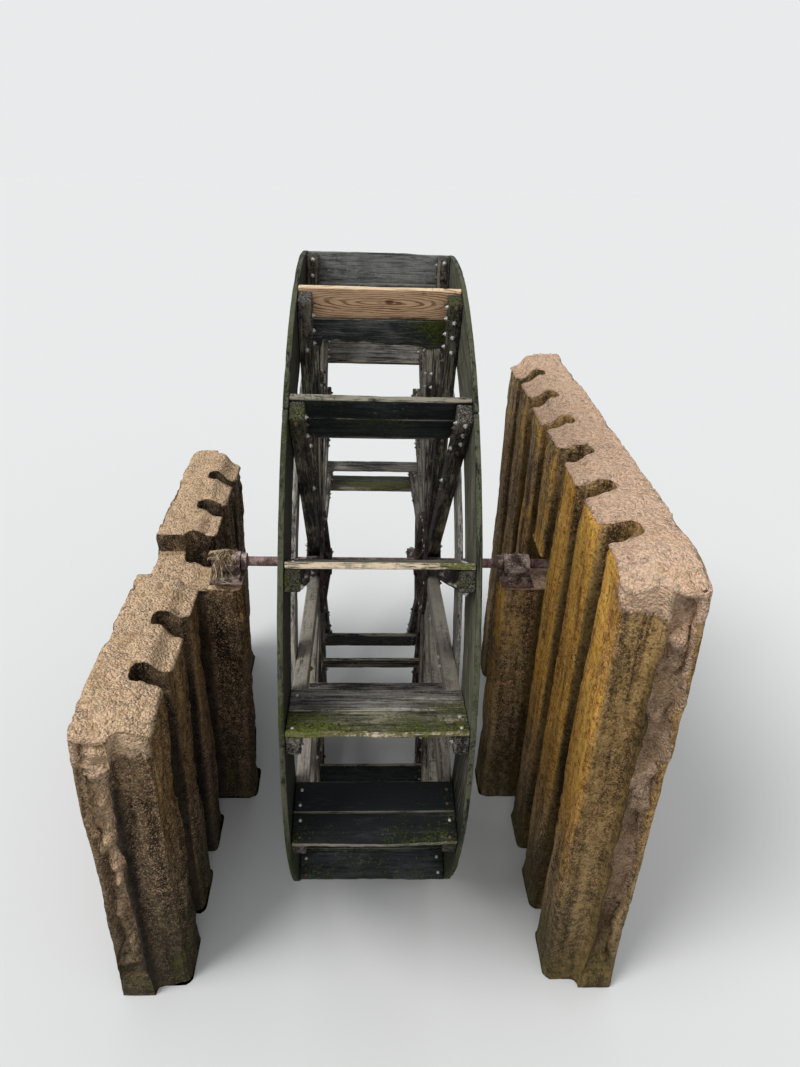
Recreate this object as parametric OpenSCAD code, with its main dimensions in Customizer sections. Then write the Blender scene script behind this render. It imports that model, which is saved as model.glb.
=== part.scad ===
// A breast-fed timber water wheel, 18 ft across, on an iron axle between two ribbed concrete pit walls.
// Millimetres. X runs along the axle, Y along the water's way, Z up. The origin is on the pit floor,
// under the middle of the axle. Angles around the wheel are measured from level, up is positive.

/* [Wheel] */
// Diameter over the outer edges of the paddles
wheel_d = 5486; // [4600:2:6400]
// Number of paddles, each on a pair of arms
paddles = 16; // [12:4:20]
// Turn of the wheel, the angle of the paddle that faces upstream
wheel_turn = 28.9; // [20:0.1:32]
// Height of the wheel's lowest point over the pit floor
pit_clear = 107; // [60:1:400]

/* [Paddles] */
// Length of a paddle, from rim to rim
paddle_l = 1150; // [900:10:1500]
// Width of each of a paddle's two boards
board_w = 235; // [180:5:260]
// Thickness of a paddle board
board_t = 44; // [32:1:60]
// Gap between the two boards of a paddle
board_gap = 4; // [3:1:10]

/* [Rims] */
// Width of the plank rims
rim_w = 550; // [500:10:600]
// Thickness of the plank rims
rim_t = 38; // [25:1:60]
// Number of plank segments in a rim
rim_segments = 8; // [4:4:16]
// Gap at each butt joint of a rim or ring
joint_gap = 4; // [3:1:8]
// Outer radius of the inner stiffening rings
ring_r = 1830; // [1700:10:1950]
// Width of the inner stiffening rings
ring_w = 235; // [150:5:260]
// Thickness of the inner stiffening rings
ring_t = 38; // [25:1:60]

/* [Arms] */
// Width of an arm, along the axle
arm_w = 100; // [80:5:130]
// Depth of an arm, around the wheel
arm_d = 140; // [100:5:180]
// How far the paddle's outer edge stands beyond an arm's end
arm_back = 22; // [10:1:60]
// Radius at which the arms' wedge-shaped feet start
arm_foot_r = 240; // [200:5:300]
// Gap between neighbouring feet
foot_gap = 4; // [3:1:10]

/* [Cross ties] */
// Number of boards that tie the two sets of arms
ties = 4; // [2:2:4]
// Radius of a tie's middle
tie_r = 1480; // [1200:10:1500]
// Width of a tie
tie_w = 140; // [90:5:180]
// Thickness of a tie
tie_t = 38; // [25:1:50]

/* [Hubs] */
// Radius of a hub's flange
flange_r = 480; // [440:5:560]
// Thickness of a hub's flange
flange_t = 28; // [20:1:40]
// Radius of a hub's boss
boss_r = 120; // [90:1:150]
// How far the boss stands inwards from the flange
boss_in = 62; // [40:1:90]
// How far the boss stands outwards from the arms
boss_out = 40; // [20:1:60]
// Number of webs between boss and flange
webs = 8; // [4:1:12]
// Thickness of a web
web_t = 22; // [14:1:30]
// Radius reached by the webs
web_r = 400; // [300:5:430]
// Thickness of the clamp ring on the far side of the arms
clamp_t = 14; // [8:1:20]
// Inner radius of the clamp ring
clamp_r = 250; // [200:5:340]

/* [Axle] */
// Diameter of the axle
axle_d = 90; // [76:1:110]
// Running clearance between axle and bearing, on the radius
bearing_fit = 0.08; // [0.04:0.01:0.1]
// Axle end beyond the left bearing
axle_left = 30; // [10:5:80]
// How far the axle's drive end stays back from the right wall's outer face
axle_back = 20; // [0:5:80]
// Diameter of the turned-down drive end
drive_d = 80; // [60:1:88]
// Length of the turned-down drive end
drive_l = 260; // [120:5:400]
// Length of a set collar
collar_l = 50; // [30:1:70]
// Thickness of a set collar around the axle
collar_t = 34; // [20:1:45]
// End play between a set collar and its bearing
end_play = 6; // [5:1:12]

/* [Bearings] */
// Distance from the middle of the wheel to the middle of a bearing
bearing_x = 1345; // [1300:5:1360]
// Length of a bearing along the axle
bearing_l = 240; // [180:5:260]
// Height of the axle over the bearing's sole plate
bearing_h = 115; // [100:1:140]
// Length of the bearing's foot, across the axle
foot_l = 380; // [340:5:400]
// Thickness of the bearing's foot
foot_t = 36; // [24:1:44]
// Radius of the round body of the bearing
body_r = 92; // [80:1:98]
// Thickness of the bearing cap's flanges
cap_t = 26; // [18:1:34]
// Reach of the cap's flanges from the axle, across it
cap_reach = 132; // [124:1:150]
// Diameter of the cap bolts
cap_bolt_d = 20; // [14:1:24]
// Diameter of the anchor bolts
anchor_d = 24; // [16:1:30]
// Length of the sole plate, across the axle
plate_l = 440; // [410:5:500]
// Width of the sole plate, along the axle
plate_w = 300; // [260:5:330]
// Thickness of the sole plate
plate_t = 12; // [8:1:20]

/* [Pit walls] */
// Distance from the middle of the wheel to a wall's ribs
wall_x = 1490; // [1490:5:1600]
// Depth of a rib
rib_d = 300; // [200:5:340]
// Width of a rib
rib_w = 510; // [460:5:560]
// Pitch of the ribs
rib_pitch = 680; // [640:5:740]
// Radius of a rib's front corners
rib_round = 90; // [40:5:120]
// Thickness of the wall behind the ribs
wall_back = 310; // [200:5:400]
// Ribs on each side of the bearing
side_ribs = 3; // [2:1:4]
// Height of the left wall over the axle
left_rise = 100; // [60:5:160]
// Height of the right wall over the axle
right_rise = 1350; // [1000:10:1600]
// Height of the window over the axle in the right wall
window_rise = 190; // [150:5:260]
// Width of the pedestals under the bearings
pedestal_w = 470; // [450:5:500]
// Reach of the pedestals from the bearing's middle towards the wheel
pedestal_in = 165; // [160:5:180]

/* [Hidden] */
$fn = 96;
left = -1;
right = 1;
upstream = -1;
downstream = 1;
wheel_r = wheel_d / 2;
axle_z = wheel_r + pit_clear;
axle_r = axle_d / 2;
step = 360 / paddles;
arm_x = paddle_l / 2 - arm_w;
seat_z = axle_z - bearing_h - plate_t;
arm_tip_r = wheel_r - arm_back;
paddle_foot_r = wheel_r - 2 * board_w - board_gap;
wall_depth = rib_d + wall_back;
half_bay = rib_pitch / 2;
collar_x = bearing_x - bearing_l / 2 - end_play - collar_l;
drive_x = wall_x + wall_depth - axle_back;
oil_cup_r = 14;
nut_h = 16;
nut_ratio = 1.7;
hole_clear = 1;
cut = 1;
bore_fit = 0.05;
web_lip = 12;
bolt_fn = 32;

function paddle_name(k) = str("paddle_", k < 10 ? "0" : "", k);
function paddle_angle(k) = wheel_turn - (k - 1) * step;

// Lay a flat outline, drawn as distance along an arm and distance across it, in the wheel's plane.
// The outline's first axis points away from the axle at the given angle, its second one against the water.
module on_wheel(angle, x, t) {
    translate([x, 0, axle_z])
        rotate([-angle, 0, 0])
            rotate([90, 0, 90])
                mirror([1, 0, 0])
                    linear_extrude(t) children();
}

module mirror_to(side) {
    if (side == left) mirror([1, 0, 0]) children();
    else children();
}

// Round bar along the axle
module bar(x0, x1, r) {
    translate([x0, 0, axle_z]) rotate([0, 90, 0]) cylinder(h = x1 - x0, r = r);
}

// Upright stud from its seat, with hexagon nuts or heads at the heights given
module stud(z, d, length, nuts) {
    translate([0, 0, z]) cylinder(h = length, r = d / 2, $fn = bolt_fn);
    for (nut_z = nuts)
        translate([0, 0, nut_z]) cylinder(h = nut_h, r = d / 2 * nut_ratio, $fn = 6);
}

// Outline of one rib seen from above: rounded corners towards the wheel
module rib_outline(width, from_x, to_x) {
    translate([from_x + rib_round, -width / 2]) square([to_x - from_x - rib_round, width]);
    translate([from_x, rib_round - width / 2]) square([2 * rib_round, width - 2 * rib_round]);
    for (s = [-1, 1])
        translate([from_x + rib_round, s * (width / 2 - rib_round)]) circle(r = rib_round);
}

// One stretch of wall, with whole ribs on the side of the wheel
module wall_stretch(way, bottom, top) {
    length = side_ribs * rib_pitch;
    back_y = way == upstream ? -half_bay - length : half_bay;
    translate([0, 0, bottom]) {
        translate([wall_x + rib_d, back_y, 0]) cube([wall_back, length, top - bottom]);
        for (i = [1:side_ribs])
            translate([0, way * i * rib_pitch, 0])
                linear_extrude(top - bottom) rib_outline(rib_w, wall_x, wall_x + rib_d + cut);
    }
}

// The bay that carries a bearing: a rib that stands further out, with the bearing's seat on top
module bearing_pier() {
    translate([wall_x + rib_d, -half_bay, 0]) cube([wall_back, rib_pitch, seat_z]);
    linear_extrude(seat_z) rib_outline(pedestal_w, bearing_x - pedestal_in, wall_x + rib_d + cut);
}

module left_wall_upstream() color("rosybrown") mirror_to(left) wall_stretch(upstream, 0, axle_z + left_rise);
module left_wall_downstream() color("rosybrown") mirror_to(left) wall_stretch(downstream, 0, axle_z + left_rise);
module left_bearing_pier() color("dimgray") mirror_to(left) bearing_pier();
module right_wall_upstream() color("tan") wall_stretch(upstream, 0, axle_z + right_rise);
module right_wall_downstream() color("tan") wall_stretch(downstream, 0, axle_z + right_rise);
module right_bearing_pier() color("darkkhaki") bearing_pier();

// The wall goes on over the window that the axle passes through
module right_wall_over_axle() color("tan") {
    bottom = axle_z + window_rise;
    height = right_rise - window_rise;
    translate([wall_x + rib_d, -half_bay, bottom]) cube([wall_back, rib_pitch, height]);
    translate([0, 0, bottom]) linear_extrude(height) rib_outline(rib_w, wall_x, wall_x + rib_d + cut);
}

module sole_plate() {
    difference() {
        translate([bearing_x - plate_w / 2, -plate_l / 2, seat_z]) cube([plate_w, plate_l, plate_t]);
        anchor_places() hole(seat_z, plate_t, anchor_d);
    }
}

// Hole for an upright bolt, through what lies from z up to z + t
module hole(z, t, d) {
    translate([0, 0, z - cut]) cylinder(h = t + 2 * cut, r = d / 2 + hole_clear, $fn = bolt_fn);
}

module anchor_places() {
    for (s = [-1, 1]) translate([bearing_x, s * (foot_l / 2 - anchor_d * 1.2), 0]) children();
}

module cap_bolt_places() {
    for (s = [-1, 1], e = [-1, 1])
        translate([bearing_x + e * bearing_l / 4, s * (cap_reach - cap_bolt_d), 0]) children();
}

// Lower half of a plain bearing: a foot, a pedestal and flanges that carry the cap
module bearing_base() {
    foot_z = seat_z + plate_t;
    from_x = bearing_x - bearing_l / 2;
    difference() {
        union() {
            translate([from_x, -foot_l / 2, foot_z]) cube([bearing_l, foot_l, foot_t]);
            translate([from_x, -body_r, foot_z]) cube([bearing_l, 2 * body_r, bearing_h]);
            translate([from_x, -cap_reach, axle_z - cap_t]) cube([bearing_l, 2 * cap_reach, cap_t]);
        }
        bar(from_x - cut, from_x + bearing_l + cut, axle_r + bearing_fit);
        anchor_places() hole(foot_z, foot_t, anchor_d);
        cap_bolt_places() hole(axle_z - cap_t, cap_t, cap_bolt_d);
    }
}

// Upper half: the round body's top with an oil cup, and flanges for the cap bolts
module bearing_cap() {
    from_x = bearing_x - bearing_l / 2;
    difference() {
        union() {
            intersection() {
                bar(from_x, from_x + bearing_l, body_r);
                translate([from_x, -body_r, axle_z]) cube([bearing_l, 2 * body_r, body_r]);
            }
            translate([from_x, -cap_reach, axle_z]) cube([bearing_l, 2 * cap_reach, cap_t]);
            translate([bearing_x, 0, axle_z + body_r - oil_cup_r]) cylinder(h = 2 * oil_cup_r, r = 2 * oil_cup_r);
        }
        bar(from_x - cut, from_x + bearing_l + cut, axle_r + bearing_fit);
        translate([bearing_x, 0, axle_z + body_r]) cylinder(h = 2 * oil_cup_r, r = oil_cup_r);
        cap_bolt_places() hole(axle_z, cap_t, cap_bolt_d);
    }
}

module bearing_bolts() {
    foot_top = seat_z + plate_t + foot_t;
    anchor_places() stud(seat_z, anchor_d, foot_top - seat_z + 2 * nut_h, [foot_top]);
    cap_bolt_places()
        stud(axle_z - cap_t - nut_h, cap_bolt_d, 2 * cap_t + 3 * nut_h, [axle_z - cap_t - nut_h, axle_z + cap_t]);
}

module left_sole_plate() color("sienna") mirror_to(left) sole_plate();
module right_sole_plate() color("sienna") sole_plate();
module left_bearing_base() color("saddlebrown") mirror_to(left) bearing_base();
module right_bearing_base() color("saddlebrown") bearing_base();
module left_bearing_cap() color("peru") mirror_to(left) bearing_cap();
module right_bearing_cap() color("peru") bearing_cap();
module left_bearing_bolts() color("maroon") mirror_to(left) bearing_bolts();
module right_bearing_bolts() color("maroon") bearing_bolts();

// Round iron shaft, turned down at the drive end
module axle() color("indianred") {
    bar(-bearing_x - bearing_l / 2 - axle_left, drive_x - drive_l, axle_r);
    bar(drive_x - drive_l - cut, drive_x, drive_d / 2);
}

module set_collars() color("darkolivegreen")
    for (side = [left, right]) mirror_to(side)
        difference() {
            bar(collar_x, collar_x + collar_l, axle_r + collar_t);
            bar(collar_x - cut, collar_x + collar_l + cut, axle_r + bore_fit);
        }

// Cast hub: a boss on the axle, a flange on the inner side of the arms, and webs between them
module hub() {
    flange_x = arm_x - flange_t;
    difference() {
        union() {
            bar(flange_x - boss_in, paddle_l / 2 + boss_out, boss_r);
            bar(flange_x, arm_x, flange_r);
            for (k = [0:webs - 1])
                translate([0, 0, axle_z]) rotate([k * 360 / webs, 0, 0]) web(flange_x);
        }
        bar(0, paddle_l, axle_r + bore_fit);
    }
}

// Web: full height at the boss, running out on the flange
module web(flange_x) {
    inner_x = flange_x - boss_in + web_lip;
    foot = boss_r - web_lip;
    rotate([90, 0, 0])
        linear_extrude(web_t, center = true)
            polygon([[inner_x, foot], [inner_x, boss_r + web_lip], [flange_x - web_lip, web_r],
                     [flange_x + cut, web_r], [flange_x + cut, foot]]);
}

// Loose ring that clamps the arms against the flange
module clamp_ring() {
    difference() {
        bar(paddle_l / 2, paddle_l / 2 + clamp_t, flange_r);
        bar(paddle_l / 2 - cut, paddle_l / 2 + clamp_t + cut, clamp_r);
    }
}

module left_hub() color("brown") mirror_to(left) hub();
module right_hub() color("brown") hub();
module left_clamp_ring() color("saddlebrown") mirror_to(left) clamp_ring();
module right_clamp_ring() color("saddlebrown") clamp_ring();

// One side's arms: squared timbers whose feet are cut to wedges that stand side by side round the boss
module arms() {
    half = arm_d / 2;
    slope = tan(step / 2);
    foot_half = arm_foot_r * slope - foot_gap / 2;
    shoulder_r = (half + foot_gap / 2) / slope;
    for (k = [1:paddles])
        on_wheel(paddle_angle(k), arm_x, arm_w)
            polygon([[arm_foot_r, -foot_half], [shoulder_r, -half], [arm_tip_r, -half],
                     [arm_tip_r, half], [shoulder_r, half], [arm_foot_r, foot_half]]);
}

// A ring of plank segments, sawn to the curve, with butt joints on the arms
module plank_ring(outer, width, t, first_joint) {
    turn = 360 / rim_segments;
    for (k = [0:rim_segments - 1])
        on_wheel(first_joint - k * turn, paddle_l / 2, t)
            intersection() {
                difference() {
                    circle(r = outer, $fn = 180);
                    circle(r = outer - width, $fn = 180);
                }
                sector(outer * 2, turn);
            }
}

// Pie slice from the first axis, with half a joint's gap left on each side
module sector(reach, angle) {
    gap = joint_gap / 2;
    intersection() {
        translate([0, gap]) square([reach, reach]);
        rotate(angle) translate([0, -reach - gap]) square([reach, reach]);
    }
}

module left_arms() color("gray") mirror_to(left) arms();
module right_arms() color("gray") mirror_to(right) arms();
module left_rim() color("darkseagreen") mirror_to(left) plank_ring(wheel_r, rim_w, rim_t, paddle_angle(2));
module right_rim() color("darkseagreen") mirror_to(right) plank_ring(wheel_r, rim_w, rim_t, paddle_angle(2));
module left_inner_ring() color("silver") mirror_to(left) plank_ring(ring_r, ring_w, ring_t, paddle_angle(1));
module right_inner_ring() color("silver") mirror_to(right) plank_ring(ring_r, ring_w, ring_t, paddle_angle(1));

// Boards that tie the left arms to the right arms, on the same side of the arms as the paddles
module cross_ties() color("dimgray")
    for (k = [0:ties - 1])
        on_wheel(paddle_angle(3 + k * paddles / ties), -paddle_l / 2, paddle_l)
            translate([tie_r - tie_w / 2, arm_d / 2]) square([tie_w, tie_t]);

// A paddle: two boards edge to edge against its pair of arms
module paddle(k) color(k % 3 == 0 ? "darkslategray" : "dimgray")
    for (i = [0, 1])
        on_wheel(paddle_angle(k), -paddle_l / 2, paddle_l)
            translate([paddle_foot_r + i * (board_w + board_gap), arm_d / 2]) square([board_w, board_t]);

left_wall_upstream();
left_wall_downstream();
left_bearing_pier();
right_wall_upstream();
right_wall_downstream();
right_bearing_pier();
right_wall_over_axle();
left_sole_plate();
right_sole_plate();
left_bearing_base();
right_bearing_base();
left_bearing_cap();
right_bearing_cap();
left_bearing_bolts();
right_bearing_bolts();
axle();
set_collars();
left_hub();
right_hub();
left_clamp_ring();
right_clamp_ring();
left_arms();
right_arms();
left_rim();
right_rim();
left_inner_ring();
right_inner_ring();
cross_ties();
for (k = [1:paddles])
    paddle(k);
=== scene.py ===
# %% [markdown]
# # A timber water wheel in its concrete pit
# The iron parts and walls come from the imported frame, and the timbers and bolts are placed by the same round
# numbers as there, so nothing is fitted by eye.
# This lesson dresses that frame: weathered planks and timbers, cast concrete that has lost its skin, rust,
# moss and lichen. Each step first says what the real thing is, then how it is made here.

import math

import bmesh
import bpy
import numpy as np
from mathutils import Matrix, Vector
from mathutils.bvhtree import BVHTree


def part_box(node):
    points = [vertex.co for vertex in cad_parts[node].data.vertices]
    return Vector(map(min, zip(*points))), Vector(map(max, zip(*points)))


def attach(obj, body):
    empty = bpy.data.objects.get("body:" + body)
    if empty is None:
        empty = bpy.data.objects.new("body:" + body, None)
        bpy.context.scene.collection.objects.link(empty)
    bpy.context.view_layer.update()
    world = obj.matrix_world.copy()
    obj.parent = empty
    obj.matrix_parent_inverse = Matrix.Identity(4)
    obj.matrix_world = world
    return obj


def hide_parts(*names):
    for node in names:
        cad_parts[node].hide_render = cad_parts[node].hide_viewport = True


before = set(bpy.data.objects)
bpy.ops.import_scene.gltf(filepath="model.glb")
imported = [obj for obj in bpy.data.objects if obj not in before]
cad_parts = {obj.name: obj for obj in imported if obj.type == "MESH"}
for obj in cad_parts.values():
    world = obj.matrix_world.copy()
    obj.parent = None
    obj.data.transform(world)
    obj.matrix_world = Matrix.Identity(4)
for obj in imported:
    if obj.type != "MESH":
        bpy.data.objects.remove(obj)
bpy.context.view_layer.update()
print("nodes in the frame:", len(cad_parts))

# %% [markdown]
# ## Sizes
# The lengths are the round numbers that the construction uses.
# The turn of the wheel is measured on paddle 1: its middle stands at a known radius along its arm and a known
# distance against the water, so the angle of that point gives the angle of the arm.

# %% Sizes of the wheel
PADDLES = 16
WHEEL_R = 2.743
AXLE_Z = 2.850
HALF_PADDLE = 0.575
BOARD_W, BOARD_T, BOARD_GAP = 0.235, 0.044, 0.004
ARM_W, ARM_D, ARM_FOOT, ARM_TIP = 0.100, 0.140, 0.240, 2.721
RIM_W, RIM_T = 0.550, 0.038
RING_R, RING_W = 1.830, 0.235
TIE_R, TIE_W, TIE_T = 1.480, 0.140, 0.038
PADDLE_FOOT = WHEEL_R - 2 * BOARD_W - BOARD_GAP
STEP = 2 * math.pi / PADDLES
SIDES = ((-1, "left"), (1, "right"))


def read(items, key, width, kind=float):
    """One property of many mesh elements as an array, one row each."""
    values = np.empty(len(items) * width, kind)
    items.foreach_get(key, values)
    return values.reshape(-1, width)


first = read(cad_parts["paddle_01"].data.vertices, "co", 3).mean(0)
TURN = math.atan2(first[2] - AXLE_Z, -first[1]) - math.atan2(
    ARM_D / 2 + BOARD_T / 2, (PADDLE_FOOT + WHEEL_R) / 2
)
print("the first paddle stands at", round(math.degrees(TURN), 2), "degrees over level")

# %% [markdown]
# ## Camera, light and floor
# The camera stands where the photographer stood, over the upstream end of the pit, looking down along the
# wheel. Its place and lens were worked out from the edges of the paddles.

# %% Camera
YAW, PITCH, ROLL = math.radians(3.283), math.radians(29.170), math.radians(2.216)
EYE = (-0.1244, -6.3944, 6.7367)
LENS = 26.89
forward = np.array([
    math.sin(YAW) * math.cos(PITCH),
    math.cos(YAW) * math.cos(PITCH),
    -math.sin(PITCH),
])
across = np.array([math.cos(YAW), -math.sin(YAW), 0.0])
upward = np.cross(across, forward)
right_way = math.cos(ROLL) * across + math.sin(ROLL) * upward
top_way = -math.sin(ROLL) * across + math.cos(ROLL) * upward
camera = bpy.data.objects.new("camera", bpy.data.cameras.new("camera"))
bpy.context.scene.collection.objects.link(camera)
camera.data.lens = LENS
camera.data.clip_end = 200
axes = np.stack([right_way, top_way, -forward], 1)
camera.matrix_world = Matrix.Translation(EYE) @ Matrix(axes).to_4x4()
bpy.context.scene.camera = camera
print("camera height in metres:", round(camera.location.z, 3))

# %% [markdown]
# The day is overcast. The sky lights the wheel from all sides, and a wide, soft sun from the upper left and a
# weak one from the front give it form. The camera and reflections see the sky as an even pale grey, as in
# the photo, whatever the strength of its light.

# %% Light
SKY_LIGHT, SKY_POWER = (0.93, 0.97, 1.0, 1), 0.60
SKY_SEEN = (0.815, 0.83, 0.834, 1)
scene = bpy.context.scene
scene.view_settings.view_transform = "Standard"
sky = bpy.data.worlds.new("soft_sky")
scene.world = sky
sky.use_nodes = True
nodes, link = sky.node_tree.nodes, sky.node_tree.links.new
lit = nodes["Background"]
lit.inputs["Color"].default_value = SKY_LIGHT
lit.inputs["Strength"].default_value = SKY_POWER
pale = nodes.new("ShaderNodeBackground")
pale.inputs["Color"].default_value = SKY_SEEN
rays = nodes.new("ShaderNodeLightPath")
either = nodes.new("ShaderNodeMath")
either.operation = "MAXIMUM"
choose = nodes.new("ShaderNodeMixShader")
link(rays.outputs["Is Camera Ray"], either.inputs[0])
link(rays.outputs["Is Glossy Ray"], either.inputs[1])
for place, shown in enumerate((either, lit, pale)):
    link(shown.outputs[0], choose.inputs[place])
link(choose.outputs[0], nodes["World Output"].inputs["Surface"])


def lamp(name, power, angle, turn):
    """A sun of a soft width, turned by Euler angles in degrees."""
    light = bpy.data.lights.new(name, "SUN")
    light.energy = power
    light.angle = math.radians(angle)
    holder = bpy.data.objects.new(name, light)
    holder.rotation_euler = [math.radians(a) for a in turn]
    scene.collection.objects.link(holder)
    return holder


lamp("high_light", 2.1, 30, (16, -36, 0))
lamp("front_light", 0.35, 60, (62, 0, 12))

# %% [markdown]
# ## Shader maths
# A pattern is easier to read as a sum than as boxes and wires. `Value` wraps a socket, so adding or
# multiplying two of them puts a Math node in place. `Paint` holds one material and makes every other node.


# %% Value and Paint
class Value:
    """A socket of a material, used like a number."""

    def __init__(self, paint, socket):
        self.paint, self.socket = paint, socket

    def maths(self, operation, other=0.0, swapped=False):
        """A Math node of this value and another one, or of the two in the other order."""
        pair = (other, self) if swapped else (self, other)
        return self.paint.node("ShaderNodeMath", {"operation": operation}, {0: pair[0], 1: pair[1]})

    def __add__(self, other):
        return self.maths("ADD", other)

    def __mul__(self, other):
        return self.maths("MULTIPLY", other)

    def __sub__(self, other):
        return self.maths("SUBTRACT", other)

    def __rsub__(self, other):
        return self.maths("SUBTRACT", other, True)

    __radd__, __rmul__ = __add__, __mul__

    def held(self):
        """The value kept between 0 and 1."""
        return self.maths("MAXIMUM", 0.0).maths("MINIMUM", 1.0)

    def step(self, start, end):
        """0 up to start, 1 from end, smooth between them; start may be the larger one."""
        settings = {"interpolation_type": "SMOOTHSTEP"}
        return self.paint.node("ShaderNodeMapRange", settings, {0: self, 1: start, 2: end})

    def channel(self, name):
        """Red, Green or Blue of a colour."""
        return self.paint.node("ShaderNodeSeparateColor", None, {0: self}, name)

    def axis(self, name):
        """X, Y or Z of a place."""
        return self.paint.node("ShaderNodeSeparateXYZ", None, {0: self}, name)

    def length(self):
        """The length of a vector."""
        return self.paint.node("ShaderNodeVectorMath", {"operation": "LENGTH"}, {0: self}, "Value")


class Paint:
    """One material and its nodes."""

    def __init__(self, name, roughness=0.8, gloss=0.15):
        self.material = bpy.data.materials.new(name)
        self.material.use_nodes = True
        self.tree = self.material.node_tree
        self.shader = self.tree.nodes["Principled BSDF"]
        self.shader.inputs["Roughness"].default_value = roughness
        self.shader.inputs["Specular IOR Level"].default_value = gloss
        self.place = self.node("ShaderNodeTexCoord", output="Object")

    def node(self, kind, settings=None, inputs=None, output=0):
        """Any node: its settings are set first, then the values or links of its sockets."""
        made = self.tree.nodes.new(kind)
        for key, value in (settings or {}).items():
            if key == "stops":
                ramp = made.color_ramp.elements
                while len(ramp) < len(value):
                    ramp.new(0.5)
                for stop, (where, shade) in zip(ramp, value):
                    stop.position, stop.color = where, shade
            else:
                setattr(made, key, value)
        for key, value in (inputs or {}).items():
            if isinstance(value, Value):
                self.tree.links.new(value.socket, made.inputs[key])
            else:
                made.inputs[key].default_value = value
        return Value(self, made.outputs[output])

    def stretched(self, vector, scale, shift=(0, 0, 0)):
        """A place vector scaled along each axis, so that a pattern is drawn out along the small ones."""
        return self.node("ShaderNodeMapping", None, {"Vector": vector, "Scale": scale, "Location": shift})

    def noise(self, vector, scale, detail, rough, warp=0.0, shift=(0, 0, 0)):
        """Cloudy noise. Three numbers as its scale draw it out along the axes of the small ones."""
        if isinstance(scale, tuple):
            vector, scale = self.stretched(vector, scale, shift), 1.0
        return self.node("ShaderNodeTexNoise", None, {
            "Vector": vector, "Scale": scale, "Detail": detail, "Roughness": rough, "Distortion": warp,
        })

    def cells(self, scale):
        """Packed cells: the distance from each one's middle, and the colour that is its own."""
        inputs = {"Vector": self.place, "Scale": scale}
        return [self.node("ShaderNodeTexVoronoi", None, inputs, output) for output in ("Distance", "Color")]

    def mix(self, one, other, part):
        """Colour one with part of the other laid over it."""
        return self.node("ShaderNodeMix", {"data_type": "RGBA"}, {0: part, 6: one, 7: other}, 2)

    def coats(self, colour, *coats):
        """A colour with coats laid over it in turn, each a shade and how much of it shows."""
        for shade, part in coats:
            colour = self.mix(colour, shade, part)
        return colour

    def ramp(self, value, stops):
        """A colour ramp of (position, colour) stops."""
        return self.node("ShaderNodeValToRGB", {"stops": stops}, {0: value})

    def attribute(self, name, output):
        """What the mesh carries at each point under a name."""
        return self.node("ShaderNodeAttribute", {"attribute_name": name}, None, output)

    def lanes(self, *names):
        """Channels of the wear attribute: Red, Green, Blue or Alpha."""
        return [
            self.attribute("wear", name) if name == "Alpha" else self.attribute("wear", "Color").channel(name)
            for name in names
        ]

    def bump(self, height, strength, distance, before=None):
        """A normal that shows the height as relief, over the normal before it."""
        inputs = {"Strength": strength, "Distance": distance, "Height": height}
        if before is not None:
            inputs["Normal"] = before
        return self.node("ShaderNodeBump", None, inputs)

    def wear(self, **sockets):
        """Links colour, roughness, normal and so on to the shader."""
        names = {"colour": "Base Color", "roughness": "Roughness", "metallic": "Metallic", "normal": "Normal"}
        for key, value in sockets.items():
            self.tree.links.new(value.socket, self.shader.inputs[names[key]])
        return self.material


def tint(red, green, blue):
    """A colour as a paint shop writes it, 0 to 255, turned into light values."""
    part = np.array([red, green, blue]) / 255
    light = np.where(part <= 0.04045, part / 12.92, ((part + 0.055) / 1.055) ** 2.4)
    return (*[float(v) for v in light], 1.0)


print("shader helpers ready")

# %% [markdown]
# ## Floor
# A plain pale floor carries the walls and takes the object's shadow. The camera and reflections see it pale;
# the light that it throws back up is dimmer, as from a wet pit floor.

# %% Floor
FLOOR_REACH, FLOOR_Z = 60, -0.004
FLOOR_LIT, FLOOR_SEEN = (0.30, 0.30, 0.29, 1), (0.72, 0.72, 0.71, 1)
floor_mesh = bpy.data.meshes.new("floor")
corners = [(x * FLOOR_REACH, y * FLOOR_REACH, FLOOR_Z) for x, y in ((-1, -1), (1, -1), (1, 1), (-1, 1))]
floor_mesh.from_pydata(corners, [], [(0, 1, 2, 3)])
floor = bpy.data.objects.new("floor", floor_mesh)
scene.collection.objects.link(floor)
floor_paint = Paint("pale_floor", 0.9)
by_camera, by_gloss, through = (
    floor_paint.node("ShaderNodeLightPath", output=f"Is {kind} Ray")
    for kind in ("Camera", "Glossy", "Transmission")
)
seen = by_camera.maths("MAXIMUM", by_gloss).maths("MAXIMUM", through)
floor_paint.wear(colour=floor_paint.mix(FLOOR_LIT, FLOOR_SEEN, seen))
floor.data.materials.append(floor_paint.material)
print("floor laid")

# %% [markdown]
# ## Noise for shapes
# Wood wears and concrete breaks in lumps of every size. A lattice of random numbers, blended smoothly between
# its corners and added up at doubling scales, gives that. The numbers come from a hash of the corner's
# place, so the same lump comes back on every run.


# %% Lumps
AXIS_PRIMES, SEED_PRIME = (73856093, 19349663, 83492791), 2654435761
STIRS = ((15, 2246822519), (13, 3266489917))


def lattice(cell, seed):
    """A number from -1 to 1 for each whole-numbered corner.

    Each of its three numbers is multiplied by a prime of its own, and the products and the seed are mixed
    by exclusive or. Shifts and more products then stir the bits, so that neighbours have nothing in common.
    """
    whole = cell.astype(np.int64).astype(np.uint32)
    key = np.uint32(seed * SEED_PRIME % 2**32)
    for axis, prime in enumerate(AXIS_PRIMES):
        key = key ^ whole[:, axis] * np.uint32(prime)
    for shift, factor in STIRS:
        key ^= key >> np.uint32(shift)
        key *= np.uint32(factor)
    key ^= key >> np.uint32(16)
    return key / 2.0**31 - 1.0


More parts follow.
